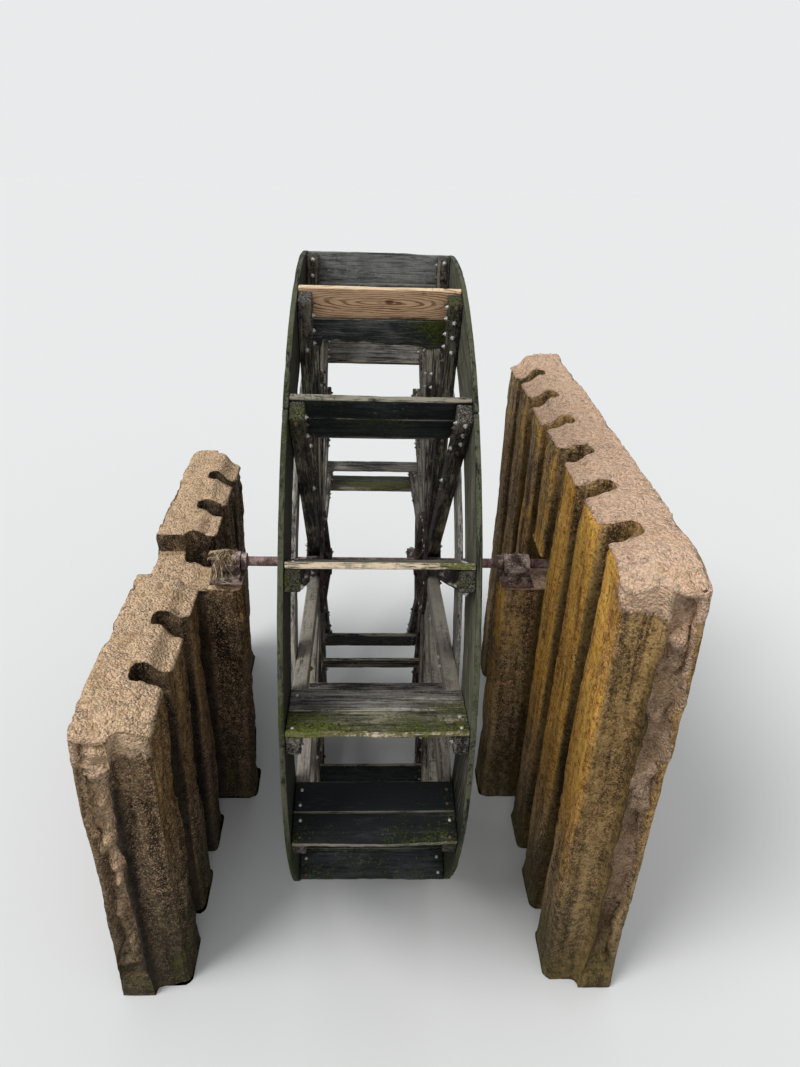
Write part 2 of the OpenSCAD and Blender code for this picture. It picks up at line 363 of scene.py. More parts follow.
def lumps(points, seed=0):
    """Smooth noise from -1 to 1: the eight corners round each point, weighted by a cubic of the distance."""
    base = np.floor(points)
    part = points - base
    part = part * part * (3 - 2 * part)
    total = np.zeros(len(points))
    for i in (0, 1):
        for j in (0, 1):
            for k in (0, 1):
                weight = np.ones(len(points))
                for axis, side in enumerate((i, j, k)):
                    weight *= part[:, axis] if side else 1 - part[:, axis]
                total += weight * lattice(base + (i, j, k), seed)
    return total


def rough(points, octaves=3, seed=0, gain=0.5):
    """Lumps added up, each layer twice as fine and gain times as high as the one before."""
    total, height, top = np.zeros(len(points)), 1.0, 0.0
    for layer in range(octaves):
        total += height * lumps(points * 2**layer, seed * 31 + layer)
        top += height
        height *= gain
    return total / top


def smooth(value, start, end):
    """0 up to start, 1 from end, a smooth cubic between."""
    part = np.clip((value - start) / (end - start), 0, 1)
    return part * part * (3 - 2 * part)


print("noise test:", np.round(rough(np.array([[0.3, 0.2, 0.1], [5.5, 2.5, 1.5]])), 3))

# %% [markdown]
# ## Meshes from arrays
# A surface is worked out as whole arrays of points and faces. This cell puts them into a mesh, with the
# attributes that the finishes read, closes the poles and turns all faces outwards. `dress` then gives a piece
# its finish and says which body it rides on and which node of the frame it stands for.


# %% Arrays to an object
def piece_from(name, points, faces, lanes=None, vectors=None, turn_out=True):
    """An object from arrays: points (n, 3), faces (m, 4), lanes {name: (n, 4)} and vectors {name: (n, 3)}.

    With turn_out, points that coincide are merged, which closes the poles, and all faces turn outwards.
    """
    mesh = bpy.data.meshes.new(name)
    sides = faces.shape[1]
    mesh.vertices.add(len(points))
    mesh.vertices.foreach_set("co", points.astype(np.float32).ravel())
    mesh.loops.add(faces.size)
    mesh.loops.foreach_set("vertex_index", faces.astype(np.int32).ravel())
    mesh.polygons.add(len(faces))
    mesh.polygons.foreach_set("loop_start", np.arange(len(faces), dtype=np.int32) * sides)
    mesh.update(calc_edges=True)
    for key, value in (lanes or {}).items():
        layer = mesh.attributes.new(key, "FLOAT_COLOR", "POINT")
        layer.data.foreach_set("color", value.astype(np.float32).ravel())
    for key, value in (vectors or {}).items():
        layer = mesh.attributes.new(key, "FLOAT_VECTOR", "POINT")
        layer.data.foreach_set("vector", value.astype(np.float32).ravel())
    if turn_out:
        work = bmesh.new()
        work.from_mesh(mesh)
        bmesh.ops.remove_doubles(work, verts=work.verts, dist=1e-6)
        bmesh.ops.dissolve_degenerate(work, edges=work.edges, dist=1e-6)
        bmesh.ops.recalc_face_normals(work, faces=work.faces)
        work.to_mesh(mesh)
        work.free()
    mesh.polygons.foreach_set("use_smooth", np.ones(len(mesh.polygons), bool))
    mesh.update()
    made = bpy.data.objects.new(name, mesh)
    scene.collection.objects.link(made)
    return made


def dress(made, body, finishes, node=None):
    """Gives a piece its finishes, the body that it rides on and, where it has one, its node."""
    for finish in finishes:
        made.data.materials.append(finish)
    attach(made, body)
    if node is not None:
        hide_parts(node)
    return made


def tube_faces(rings, around):
    """Quads between rings of points, each ring closed on itself."""
    i, j = np.meshgrid(np.arange(rings - 1), np.arange(around), indexing="ij")
    k = (j + 1) % around
    quads = np.stack([i * around + j, i * around + k, (i + 1) * around + k, (i + 1) * around + j], -1)
    return quads.reshape(-1, 4)


class Batch:
    """Collects the arrays of many like shapes, so that they end up in one mesh."""

    def __init__(self):
        self.points, self.faces, self.lanes, self.grain, self.count = [], [], [], [], 0

    def add(self, points, faces, lanes, grain=None):
        """One more shape; its grain is where each point lies in its own timber."""
        self.points.append(points)
        self.faces.append(faces + self.count)
        self.lanes.append(lanes)
        self.grain.append(points if grain is None else grain)
        self.count += len(points)

    def piece(self, name, turn_out=True):
        """All the shapes as one object."""
        return piece_from(
            name, np.concatenate(self.points), np.concatenate(self.faces),
            {"wear": np.concatenate(self.lanes)}, {"grain": np.concatenate(self.grain)}, turn_out,
        )


print("mesh helpers ready")

# %% [markdown]
# ## A sawn timber
# Every plank, arm and board is a sawn timber: a long box with rounded edges. Years of wet and dry have cupped
# it, chipped its edges, opened its ends and worn some edges wavy. The surface has two parameters, one round
# the section and one along the length, and wear only ever takes wood away, so the timber stays in its place.


# %% Section and length
def section(width, depth, corner, wide_steps, deep_steps, corner_steps=2):
    """A rounded rectangle of quarter circles and straight steps: its points and their outward ways."""
    points, ways = [], []
    centres = np.array([(1, 1), (-1, 1), (-1, -1), (1, -1)]) * (width / 2 - corner, depth / 2 - corner)
    for quarter in range(4):
        angle = (quarter + np.linspace(0, 1, corner_steps + 1)) * math.pi / 2
        turn = np.stack([np.cos(angle), np.sin(angle)], 1)
        centre, following = centres[quarter], centres[(quarter + 1) % 4]
        points.append(centre + corner * turn)
        ways.append(turn)
        steps = wide_steps if quarter % 2 == 0 else deep_steps
        part = np.linspace(0, 1, steps + 1)[1:-1, None]
        points.append(centre * (1 - part) + following * part + corner * turn[-1])
        ways.append(np.repeat(turn[-1:], steps - 1, 0))
    return np.concatenate(points), np.concatenate(ways)


SAW_WEAR, SPLIT = 0.0012, 0.002
CORNER_REACH, END_REACH, END_STAIN = 0.018, 0.05, 0.07


def timber(length, width, depth, seed, steps=(60, 10, 3), corner=0.006, chips=0.008,
           cup=0.002, ends=0.006, recede=None, recede_low=None, taper=None, centred=False):
    """A worn sawn timber in its own frame: first axis along it from 0, then across its width, then its depth.

    The section is carried along the length. Near each end it shrinks in rings to the middle line, which
    closes the end. Every point then moves inwards along the section's outward way by a noise of its place, more
    at the corners; `recede` gives how far the far edge has worn back at a place along, and `taper` the
    share of the width that is left there.
    """
    outline, ways = section(width, depth, corner, steps[1], steps[2])
    inset = np.array([0.5 * depth, 0.25 * depth, corner, 0.3 * corner, 0.0])
    start = np.array([0.0, 0.0, 0.0, 0.3 * corner, corner])
    body = np.linspace(corner, length - corner, steps[0] + 1)[1:-1]
    along = np.concatenate([start, body, length - start[::-1]])
    shrink = np.concatenate([inset, np.zeros(len(body)), inset[::-1]])
    a = np.repeat(along, len(outline))
    b = np.tile(outline[:, 0], len(along)) * np.repeat(1 - 2 * shrink / width, len(outline))
    c = np.tile(outline[:, 1], len(along)) * np.repeat(1 - 2 * shrink / depth, len(outline))
    way_b, way_c = np.tile(ways[:, 0], len(along)), np.tile(ways[:, 1], len(along))
    shift = np.array([seed * 3.7, seed * 1.3, seed * 0.7])
    place = np.stack([a, b, c], 1) + shift
    corner_share = np.clip(2 * np.abs(way_b * way_c), 0, 1)
    near_corner = np.exp(-(width / 2 - np.abs(b)) / CORNER_REACH)
    eaten = SAW_WEAR * (1 + rough(place * (5, 45, 45), 2, seed))
    at_edges = corner_share + 0.5 * near_corner
    eaten += chips * at_edges * smooth(rough(place * (7, 9, 9), 3, seed + 1), 0.05, 0.7)
    eaten += SPLIT * smooth(rough(place * (2.5, 70, 70), 2, seed + 2), 0.3, 0.6)
    eaten = np.where(shrink.repeat(len(outline)) > corner, 0, eaten)
    hollow = cup * (1 - (2 * b / width) ** 2) * (way_c > 0.5)
    b = b - way_b * eaten
    c = c - way_c * (eaten + hollow)
    from_end = np.minimum(a, length - a)
    inward = np.where(a < length / 2, 1, -1)
    pull = ends * (1 + rough(np.stack([b * 25, c * 30, a * 0 + inward], 1) + seed, 2, seed + 3)) / 2
    a = a + inward * pull * np.exp(-from_end / END_REACH)
    worn = np.zeros(len(a))
    if recede is not None:
        worn = recede(a)
        b = b - worn * np.clip((b + width / 2) / width, 0, 1) ** 2
    if recede_low is not None:
        b = b + recede_low(a) * np.clip((width / 2 - b) / width, 0, 1) ** 2
    if taper is not None:
        b = b * taper(a)
    edge = np.clip(corner_share + 0.8 * near_corner * (np.abs(way_c) < 0.5) + worn * 20, 0, 1)
    end = np.exp(-from_end / END_STAIN)
    faces = tube_faces(len(along), len(outline))
    return a, b, c, edge, end, faces, place - shift * centred


print("a paddle board has", len(timber(2 * HALF_PADDLE, BOARD_W, BOARD_T, 1)[5]), "faces")

# %% [markdown]
# ## Placing timbers on the wheel
# An arm at angle t points away from the axle along (0, -cos t, sin t). The way square to it, against the
# water, is (0, sin t, cos t), and the boards stand on that side. Rim planks are bent by their angle only:
# their grain stays straight, because they were sawn to the curve.


# %% Placing
def on_wheel(angle, x, radius, against):
    """Points at a distance x along the axle, a radius along the arm and a distance against the water."""
    return np.stack([
        x + 0 * radius,
        -radius * np.cos(angle) + against * np.sin(angle),
        AXLE_Z + radius * np.sin(angle) + against * np.cos(angle),
    ], 1)


def angle_of(number):
    """The angle of a paddle and its arms; paddle 1 faces the camera and the numbers run down from there."""
    return TURN - (number - 1) * STEP


def lanes(edge, end, moss, tone):
    """The wear attribute: worn edge, open end, moss and tone, each 0 to 1."""
    full = np.ones(len(edge))
    return np.stack([edge, end * full, np.clip(moss, 0, 1) * full, tone * full], 1)


print("angles:", [round(math.degrees(angle_of(n))) for n in (1, 2, 3)])

# %% [markdown]
# ## Weathered wood
# Old softwood in a wet pit turns grey where it dries and black where it stays wet. The early wood washes out
# between the hard rings, so the grain stands in ridges; edges wear pale; lichen and moss sit where water
# lies. One recipe makes every wooden finish, from a dark and a light shade. It reads the grain
# attribute, which gives the place along, across and through each timber, so the streaks follow every timber.


# %% Wood finish
def darker(shade, share):
    """A colour of three numbers from 0 to 255, scaled and kept in range."""
    return tint(*[min(255, v * share) for v in shade])


def wood(name, dark, light, edge=(168, 158, 136), moss=(72, 80, 30),
         lichen=0.25, lichen_tint=(150, 150, 134), wet=0.0, long=1.0):
    """Weathered wood: streaks along the grain, dark cracks, pale worn edges, lichen spots and moss."""
    paint = Paint(name, gloss=0.12 + 0.3 * wet)
    grain = paint.attribute("grain", "Vector")
    bare, end, mossy, tone = paint.lanes("Red", "Green", "Blue", "Alpha")
    streak = paint.noise(grain, (2.2 / long, 46, 46), 6, 0.7)
    fine = paint.noise(grain, (10 / long, 120, 120), 4, 0.7)
    blotch = paint.noise(grain, (3 / long, 10, 10), 5, 0.65, 0.4)
    speck = paint.noise(paint.place, 95, 3, 0.75)
    crack = paint.noise(grain, (1.3, 62, 62), 3, 0.5).step(0.37, 0.30)
    body = 0.5 + 2.8 * (streak - 0.5) + 2.4 / long * (blotch - 0.5) + 2.2 * (fine - 0.5) + (tone - 0.5)
    damp = paint.noise(paint.place, (3, 3, 1.2), 4, 0.6).step(0.44, 0.66)
    uneven = 0.5 + 1.1 * (fine - 0.5) + 1.4 * (blotch - 0.5) + 1.2 * (streak - 0.5)
    rubbed = (bare * uneven).step(0.22, 0.5)
    opened = end * paint.noise(grain, 60, 3, 0.6).step(0.42, 0.66)
    patch = paint.noise(paint.place, 30, 5, 0.75)
    spread = paint.noise(paint.place, 3.1, 3, 0.6)
    crust = 3.2 * (patch - 0.5) + 1.6 * (spread - 0.5) + 0.25 * bare + 0.35 * tone + lichen - 0.42
    crust = crust.step(0.1, 0.55)
    tuft = paint.noise(paint.place, 70, 4, 0.75)
    green = (mossy + 1.5 * (patch - 0.5) + 1.3 * (tuft - 0.5) + 0.8 * (spread - 0.5)).step(0.36, 0.74)
    colour = paint.coats(
        paint.mix(tint(*dark), tint(*light), body.held()),
        (darker(light, 1.3), ((speck - 0.56) * 5 * (0.25 + tone)).held() * 0.55),
        (darker(dark, 0.3), (crack + (0.44 - speck) * 4).held() * 0.75),
        (darker(dark, 0.6), damp * 0.4),
        (tint(*edge), rubbed * 0.9),
        (darker(dark, 0.4), opened * 0.6),
        (tint(*lichen_tint), crust * 0.7),
        (
            paint.ramp(tuft, [(0.32, darker(moss, 0.4)), (0.5, tint(*moss)), (0.7, darker(moss, 1.5))]),
            green * 0.88,
        ),
    )
    normal = paint.bump(0.7 * streak + 0.6 * fine - 1.4 * crack + 0.25 * speck, 0.7, 0.006)
    normal = paint.bump(green * (0.6 + tuft) + crust * 0.35 * patch, 0.8, 0.008, normal)
    dull = (0.66 - 0.25 * wet) + 0.22 * streak + 0.15 * green
    return paint.wear(colour=colour, roughness=dull.held(), normal=normal)


BLACK_WOOD = wood("black_wet_wood", (15, 18, 20), (64, 68, 70), edge=(146, 138, 122), wet=0.4, lichen=0.02)
BROWN_WOOD = wood("dark_brown_wood", (21, 18, 17), (150, 140, 132), edge=(136, 130, 112), lichen=0.1)
GREY_WOOD = wood(
    "silver_grey_wood", (42, 40, 38), (162, 156, 148), edge=(186, 176, 156), moss=(98, 102, 38),
    lichen=0.15, long=1.4,
)
SLATE_WOOD = wood("slate_grey_wood", (50, 52, 53), (130, 130, 126), edge=(140, 138, 126), lichen=0.1)
RIM_WOOD = wood(
    "lichened_rim_wood", (20, 22, 20), (124, 121, 104), edge=(88, 89, 70), moss=(58, 66, 25),
    lichen=0.04, lichen_tint=(120, 122, 98), long=2.2,
)
DECK_WOOD = wood(
    "trodden_grey_wood", (46, 44, 36), (156, 150, 128), edge=(222, 200, 172), moss=(82, 88, 30), lichen=0.15
)
print("wood finishes: 6")

# %% [markdown]
# One paddle was mended not long ago: its outer board is new pine, still tan, with flat-sawn grain that runs
# in long ovals, and it has a knot. The ovals are rings of distance from a point under the board, drawn out
# along the grain, and the knot is a small dark spot.


# %% New pine finish
def new_pine():
    """Fresh pine: rings of distance from a point under the board, long ovals along it, and a knot."""
    paint = Paint("new_pine", 0.62, gloss=0.3)
    grain = paint.attribute("grain", "Vector")
    bare, mossy = paint.lanes("Red", "Blue")
    bend = paint.noise(grain, (2.6, 9, 9), 4, 0.55) - 0.5
    near = paint.stretched(grain, (0.13, 1, 1), (-0.075, -0.012, 0.02)).length()
    late = ((near + 0.05 * bend) * 420).maths("SINE").step(-0.2, 0.9)
    fine = paint.noise(grain, (6, 120, 120), 4, 0.7)
    blotch = paint.noise(grain, (2, 12, 12), 3, 0.5)
    eye = paint.stretched(grain, (0.55, 1, 1), (-0.352, -0.018, 0)).length()
    knot = (eye + 0.02 * bend).step(0.034, 0.024)
    grime = (mossy + 1.6 * (paint.noise(paint.place, 28, 4, 0.65) - 0.5)).step(0.25, 0.6)
    colour = paint.coats(
        tint(222, 184, 146),
        (tint(124, 84, 58), late * (0.8 + 2.4 * (blotch - 0.5)).held()),
        (tint(104, 74, 56), fine.step(0.5, 0.68) * 0.65),
        (tint(86, 48, 34), knot * 0.9),
        (tint(226, 206, 172), (bare * (0.6 + 1.5 * (fine - 0.5))).step(0.3, 0.6) * 0.85),
        (tint(58, 58, 40), grime * 0.7),
    )
    normal = paint.bump(0.5 * late + 0.7 * fine, 0.4, 0.002)
    return paint.wear(colour=colour, roughness=(0.55 + 0.2 * fine).held(), normal=normal)


PINE = new_pine()
print("new pine ready")

# %% [markdown]
# ## Paddles
# Each paddle is two boards edge to edge against its pair of arms. Their looks differ with the place on the
# wheel: the ones that stood up longest are grey, those that hang in the wet are black, and the outer edges are
# worn wavy by the water. The table gives each board's finish, tone, moss at its left, middle and
# right, and how far its outer edge has worn back.

# %% Paddle boards
BOARDS = {
    1: ((BROWN_WOOD, 0.36, (0.1, 0.05, 0.3), 0.004), (DECK_WOOD, 0.5, (0.05, 0.15, 0.6), 0.012)),
    2: ((GREY_WOOD, 0.46, (0.0, 0.05, 0.45), 0.003), (DECK_WOOD, 0.36, (0.8, 0.36, 0.6), 0.016)),
    3: ((BLACK_WOOD, -0.3, (0.1, 0.0, 0.2), 0.004), (BLACK_WOOD, -0.2, (0.35, 0.2, 0.5), 0.014)),
    4: ((BLACK_WOOD, 0.35, (0.1, 0.1, 0.2), 0.004), (BLACK_WOOD, 0.4, (0.3, 0.3, 0.3), 0.012)),
    5: ((BLACK_WOOD, 0.4, (0.2, 0.1, 0.3), 0.004), (BLACK_WOOD, 0.35, (0.3, 0.4, 0.35), 0.012)),
    6: ((BLACK_WOOD, 0.45, (0.2, 0.2, 0.2), 0.004), (BLACK_WOOD, 0.4, (0.35, 0.3, 0.35), 0.01)),
    7: ((BLACK_WOOD, 0.4, (0.1, 0.1, 0.2), 0.004), (BROWN_WOOD, 0.28, (0.3, 0.4, 0.3), 0.01)),
    8: ((BLACK_WOOD, 0.4, (0.1, 0.1, 0.1), 0.004), (BROWN_WOOD, 0.32, (0.2, 0.3, 0.2), 0.01)),
    9: ((BROWN_WOOD, 0.28, (0.2, 0.2, 0.1), 0.004), (BROWN_WOOD, 0.28, (0.3, 0.2, 0.4), 0.01)),
    10: ((GREY_WOOD, 0.35, (0.3, 0.75, 0.7), 0.006), (SLATE_WOOD, 0.4, (0.4, 0.5, 0.5), 0.01)),
    11: ((SLATE_WOOD, 0.45, (0.1, 0.2, 0.3), 0.004), (GREY_WOOD, 0.4, (0.3, 0.2, 0.3), 0.012)),
    12: ((GREY_WOOD, 0.42, (0.05, 0.05, 0.15), 0.008), (GREY_WOOD, 0.5, (0.1, 0.1, 0.2), 0.012)),
    13: ((SLATE_WOOD, 0.5, (0.1, 0.1, 0.2), 0.004), (SLATE_WOOD, 0.5, (0.1, 0.2, 0.3), 0.01)),
    14: ((SLATE_WOOD, 0.56, (0.05, 0.05, 0.1), 0.004), (SLATE_WOOD, 0.66, (0.0, 0.0, 0.1), 0.006)),
    15: ((SLATE_WOOD, 0.12, (0.0, 0.1, 0.75), 0.002), (PINE, 0.5, (0.15, 0.0, 0.25), 0.0006)),
    16: ((BLACK_WOOD, 0.30, (0.2, 0.42, 0.1), 0.004), (BLACK_WOOD, 0.24, (0.3, 0.05, 0.2), 0.010)),
}


# Two boards have one pale edge: -1 is the inner edge and 1 the outer one
PALE_EDGES = {(12, 0): -1, (16, 1): 1}
MENDED = 15


def wave(depth, seed):
    """How far an edge has worn back along a board: slow waves with a finer raggedness, never negative."""
    def worn(a):
        line = np.stack([a * 3.1, a * 0 + seed, a * 0], 1)
        return depth * np.clip(0.9 + 1.4 * rough(line, 4, seed), 0, 3)
    return worn


def scallops(a):
    """The old board of the mended paddle: its lower edge is rotted back by 6 cm, but whole at its bolts."""
    places, depths = np.transpose([
        (0.0, 0.0), (0.15, 0.004), (0.165, 0.052), (0.21, 0.046), (0.27, 0.066), (0.33, 0.040),
        (0.40, 0.034), (0.46, 0.054), (0.52, 0.036), (0.60, 0.044), (0.66, 0.022), (0.74, 0.034),
        (0.84, 0.02), (0.95, 0.0), (1.15, 0.0),
    ])
    line = np.stack([a * 24, a * 0 + 2.5, a * 0], 1)
    return np.interp(a, places, depths) * (1 + 0.25 * rough(line, 2, 77)) + 0.003 * (1 + rough(line, 2, 78))


def moss_along(a, amounts):
    """Moss between the amounts given at the left end, the middle and the right end."""
    return np.interp(a, [0.06, 0.55, 1.09], amounts)


def board_middle(row):
    """The radius of the middle of a paddle's inner board, row 0, or of its outer one, row 1."""
    return PADDLE_FOOT + row * (BOARD_W + BOARD_GAP) + BOARD_W / 2


for number, boards in BOARDS.items():
    name = f"paddle_{number:02d}"
    angle = angle_of(number)
    batch = Batch()
    for row, (finish, tone, amounts, depth) in enumerate(boards):
        seed = number * 7 + row * 3
        rotten = (number, row) == (MENDED, 0)
        a, b, c, edge, end, faces, grain = timber(
            2 * HALF_PADDLE, BOARD_W, BOARD_T, seed, (150 if rotten else 80, 10, 3), recede=wave(depth, seed),
            recede_low=scallops if rotten else None, centred=finish is PINE,
        )
        if (number, row) in PALE_EDGES:
            edge = np.maximum(edge, smooth(PALE_EDGES[number, row] * b, 0.085, 0.112))
        points = on_wheel(angle, a - HALF_PADDLE, board_middle(row) + b, ARM_D / 2 + BOARD_T / 2 + c)
        moss = moss_along(a, amounts) * (0.7 + 0.5 * smooth(b, -0.1, 0.1))
        batch.add(points, faces, lanes(edge, end, moss, tone), grain)
    made = dress(
        batch.piece(f"{name}_boards"), "wheel", [finish for finish, *_ in boards], name
    )
    centres = read(made.data.polygons, "center", 3) - (0, 0, AXLE_Z)
    radii = -centres[:, 1] * math.cos(angle) + centres[:, 2] * math.sin(angle)
    outer_board = radii > PADDLE_FOOT + BOARD_W + BOARD_GAP / 2
    made.data.polygons.foreach_set("material_index", outer_board.astype(np.int32))
print("paddles made:", len(BOARDS))

# %% [markdown]
# ## Arms
# The arms are squared timbers whose feet are cut to wedges that stand side by side round the boss. They are
# dark and wet at the top of the wheel, and grey-brown where they hang in the light. Their outer ends carry
# moss and lichen.


# %% Arms
WEDGE_GAP = 0.002


def arm_taper(a):
    """The share of an arm's depth at a distance from its foot, where it is cut to a wedge."""
    radius = a + ARM_FOOT
    wedge = radius * math.tan(STEP / 2) - WEDGE_GAP
    return np.minimum(1.0, wedge / (ARM_D / 2))


ARM_TONES = {
    1: -0.1, 2: 0.95, 3: 0.9, 4: 0.7, 9: 0.42, 10: 0.56, 11: 0.52, 12: 0.48, 13: 0.2, 14: -0.35, 15: -0.45,
    16: -0.5,
}
COMMON_TONE = 0.25

for side, side_name in SIDES:
    batch = Batch()
    for number in range(1, PADDLES + 1):
        seed = number * 5 + (40 if side > 0 else 0)
        a, b, c, edge, end, faces, grain = timber(
            ARM_TIP - ARM_FOOT, ARM_D, ARM_W, seed, (58, 5, 3),
            corner=0.009, chips=0.012, cup=0, taper=arm_taper,
        )
        points = on_wheel(angle_of(number), side * (HALF_PADDLE - ARM_W / 2) + c, ARM_FOOT + a, b)
        outer = smooth(a, 2.0, 2.45)
        moss = 0.04 + 0.5 * outer * (0.6 + 0.4 * math.sin(number * 2.1 + side))
        tone = ARM_TONES.get(number, COMMON_TONE) + 0.06 * math.sin(number * 3.3 + side) - 0.75 * outer
        batch.add(points, faces, lanes(np.maximum(0.7 * edge, 0.25 * outer), end, moss, tone), grain)
    arms = batch.piece(f"{side_name}_arm_timbers")
    dress(arms, "wheel", [BROWN_WOOD], f"{side_name}_arms")
print("arm faces on one side:", len(arms.data.polygons))

# %% [markdown]
# ## Rims and inner rings
# Eight wide planks on each side, sawn to the curve, meet in butt joints on the arms. Their outer edges stay
# damp and have grown a pale crust of lichen.


# %% Rims and rings
BUTT_GAP = 0.002


def curved_plank(start, middle, width, side, seed, steps, recede=None):
    """A plank sawn to the curve over two steps of the arms.

    The distance along it, over its middle's radius, is its angle round the axle. Its grain stays straight.
    """
    gap = BUTT_GAP / (middle - width / 2)
    a, b, c, edge, end, faces, grain = timber(
        (2 * STEP - 2 * gap) * middle, width, RIM_T, seed, steps, corner=0.005, chips=0.010, recede=recede
    )
    angle = start + gap + a / middle
    radius = middle + b
    points = on_wheel(angle, side * (HALF_PADDLE + RIM_T / 2) + c, radius, 0 * a)
    off = a / middle - STEP
    straight = np.stack([radius * np.sin(off), radius * np.cos(off), c], 1) + (seed * 3.7, seed * 1.3, 0)
    return points, faces, edge, end, straight, b


for side, side_name in SIDES:
    rim, ring = Batch(), Batch()
    for plank in range(PADDLES // 2):
        seed = 100 + plank * 3 + (50 if side > 0 else 0)
        points, faces, edge, end, grain, b = curved_plank(
            angle_of(2) - plank * 2 * STEP, WHEEL_R - RIM_W / 2, RIM_W, side, seed, (56, 14, 2),
            wave(0.007, seed),
        )
        outer = smooth(b, RIM_W / 2 - 0.05, RIM_W / 2 - 0.005)
        streaks = smooth(rough(points * 3.0, 3, seed), 0.05, 0.6)
        low_down = smooth(points[:, 2], 3.0, 1.5)
        inside = smooth(HALF_PADDLE + RIM_T / 2 - side * points[:, 0], -0.004, 0.012)
        moss = 0.10 + 0.16 * outer + 0.28 * streaks + 0.36 * low_down
        flat, outer_edge = (-0.6, -0.2) if side < 0 else (0.45, 0.05)
        tone = np.where(outer > 0.3, outer_edge, flat + 0.08 * math.sin(plank * 2.7 + side))
        if side < 0:
            tone = tone + 0.75 * (1 - inside) * (1 - outer)
        else:
            tone = tone - 1.1 * low_down
        worn = np.maximum(edge, 0.9 * outer) * (1 - 0.6 * low_down)
        rim.add(points, faces, lanes(worn, end, moss, tone), grain)
        points, faces, edge, end, grain, b = curved_plank(
            angle_of(1) - plank * 2 * STEP, RING_R - RING_W / 2, RING_W, side, seed + 7, (44, 8, 2)
        )
        ring.add(points, faces, lanes(0.6 * edge, end, 0.05, 0.5 + 0.12 * math.sin(plank * 1.9)), grain)
    for batch, part, finish in ((rim, "rim", RIM_WOOD), (ring, "inner_ring", GREY_WOOD)):
        made = batch.piece(f"{side_name}_{part}_planks")
        dress(made, "wheel", [finish], f"{side_name}_{part}")
print("rims and rings made")

# %% [markdown]
# ## Cross ties
# Four boards tie the left arms to the right arms, one on every fourth pair.

# %% Cross ties
TIE_TONES = {3: 0.2, 7: 0.3, 11: 0.5, 15: 0.4}
batch = Batch()
for index, (number, tone) in enumerate(TIE_TONES.items()):
    seed = 200 + index
    a, b, c, edge, end, faces, grain = timber(
        2 * HALF_PADDLE, TIE_W, TIE_T, seed, (70, 7, 2), recede=wave(0.004, seed)
    )
    points = on_wheel(angle_of(number), a - HALF_PADDLE, TIE_R + b, ARM_D / 2 + TIE_T / 2 + c)
    batch.add(points, faces, lanes(edge, end, 0.1, tone), grain)
dress(batch.piece("cross_tie_boards"), "wheel", [GREY_WOOD], "cross_ties")
print("cross ties made:", len(TIE_TONES))

# %% [markdown]
# ## Rusty iron
# Cast hubs, bearings and the axle have an even coat of rust with darker pits and paler flakes. Rust isn't
# shiny, so it is nearly all roughness and colour, and only rubbed spots keep a little metal.


# %% Iron finish
def iron(name, dark, middle, pale, metal=0.15, flakes=0.5):
    """Rust: two noises pick between three shades, a fine one raises flakes and pits."""
    paint = Paint(name, 0.8, gloss=0.3)
    cloud = paint.noise(paint.place, 9, 5, 0.62, 0.3)
    grit = paint.noise(paint.place, 130, 4, 0.7)
    flake = paint.cells(55)[0].step(0.1, 0.6)
    body = (0.5 + 1.3 * (cloud - 0.5) + 1.1 * (grit - 0.5)).held()
    drip = paint.noise(paint.place, (22, 22, 2.5), 3, 0.6).step(0.5, 0.72)
    colour = paint.coats(
        paint.ramp(body, [(0.26, tint(*dark)), (0.48, tint(*middle)), (0.66, tint(*pale))]),
        (tint(*dark), flake * flakes * 0.5),
        (darker(dark, 0.6), drip * 0.5),
    )
    normal = paint.bump(grit + 0.8 * flake * flakes + 0.9 * cloud, 0.8, 0.006)
    rubbed = cloud.step(0.6, 0.75) * metal
    return paint.wear(colour=colour, normal=normal, metallic=rubbed, roughness=(0.68 + 0.3 * grit).held())


AXLE_RUST = iron("axle_rust", (70, 50, 48), (130, 102, 98), (190, 160, 156))
CAST_RUST = iron("cast_rust", (34, 26, 24), (132, 108, 98), (236, 214, 200), flakes=0.9)
HUB_RUST = iron("hub_rust", (18, 15, 15), (48, 38, 35), (92, 72, 62), flakes=0.8)
PLATE_RUST = iron("plate_rust", (52, 38, 34), (112, 82, 72), (168, 140, 128))
BOLT_RUST = iron("bolt_rust", (60, 46, 40), (112, 94, 84), (170, 158, 148), metal=0.3)
print("iron finishes: 5")

# %% [markdown]
# The bolts of the wheel were changed at different times, so some are rusty and some still pale from
# galvanising. Each bolt carries its own tone in the wear attribute, and the finish picks its colour by that.


# %% Bolt finish
def bolts_finish():
    """Zinc or rust, picked by each bolt's own tone, with grit over both."""
    paint = Paint("mixed_bolts", 0.6, gloss=0.4)
    own = paint.lanes("Red")[0]
    grit = paint.noise(paint.place, 210, 3, 0.7)
    rust = paint.ramp(grit, [(0.3, tint(44, 32, 28)), (0.55, tint(88, 68, 58)), (0.75, tint(132, 112, 98))])
    zinc = paint.ramp(grit, [(0.3, tint(128, 126, 120)), (0.6, tint(196, 194, 188))])
    pale = (own + 0.6 * (grit - 0.5)).step(0.3, 0.48)
    colour = paint.mix(rust, zinc, pale)
    normal = paint.bump(grit, 0.4, 0.001)
    return paint.wear(colour=colour, roughness=(0.75 - 0.25 * pale).held(), metallic=pale * 0.35, normal=normal)


MIXED_BOLTS = bolts_finish()
print("bolt finish ready")

# %% [markdown]
# ## Castings
# A casting has no sharp edge anywhere. Each iron node of the frame is copied, merged, and given a bevel, so its
# edges catch the light, and the copy stands for the node.


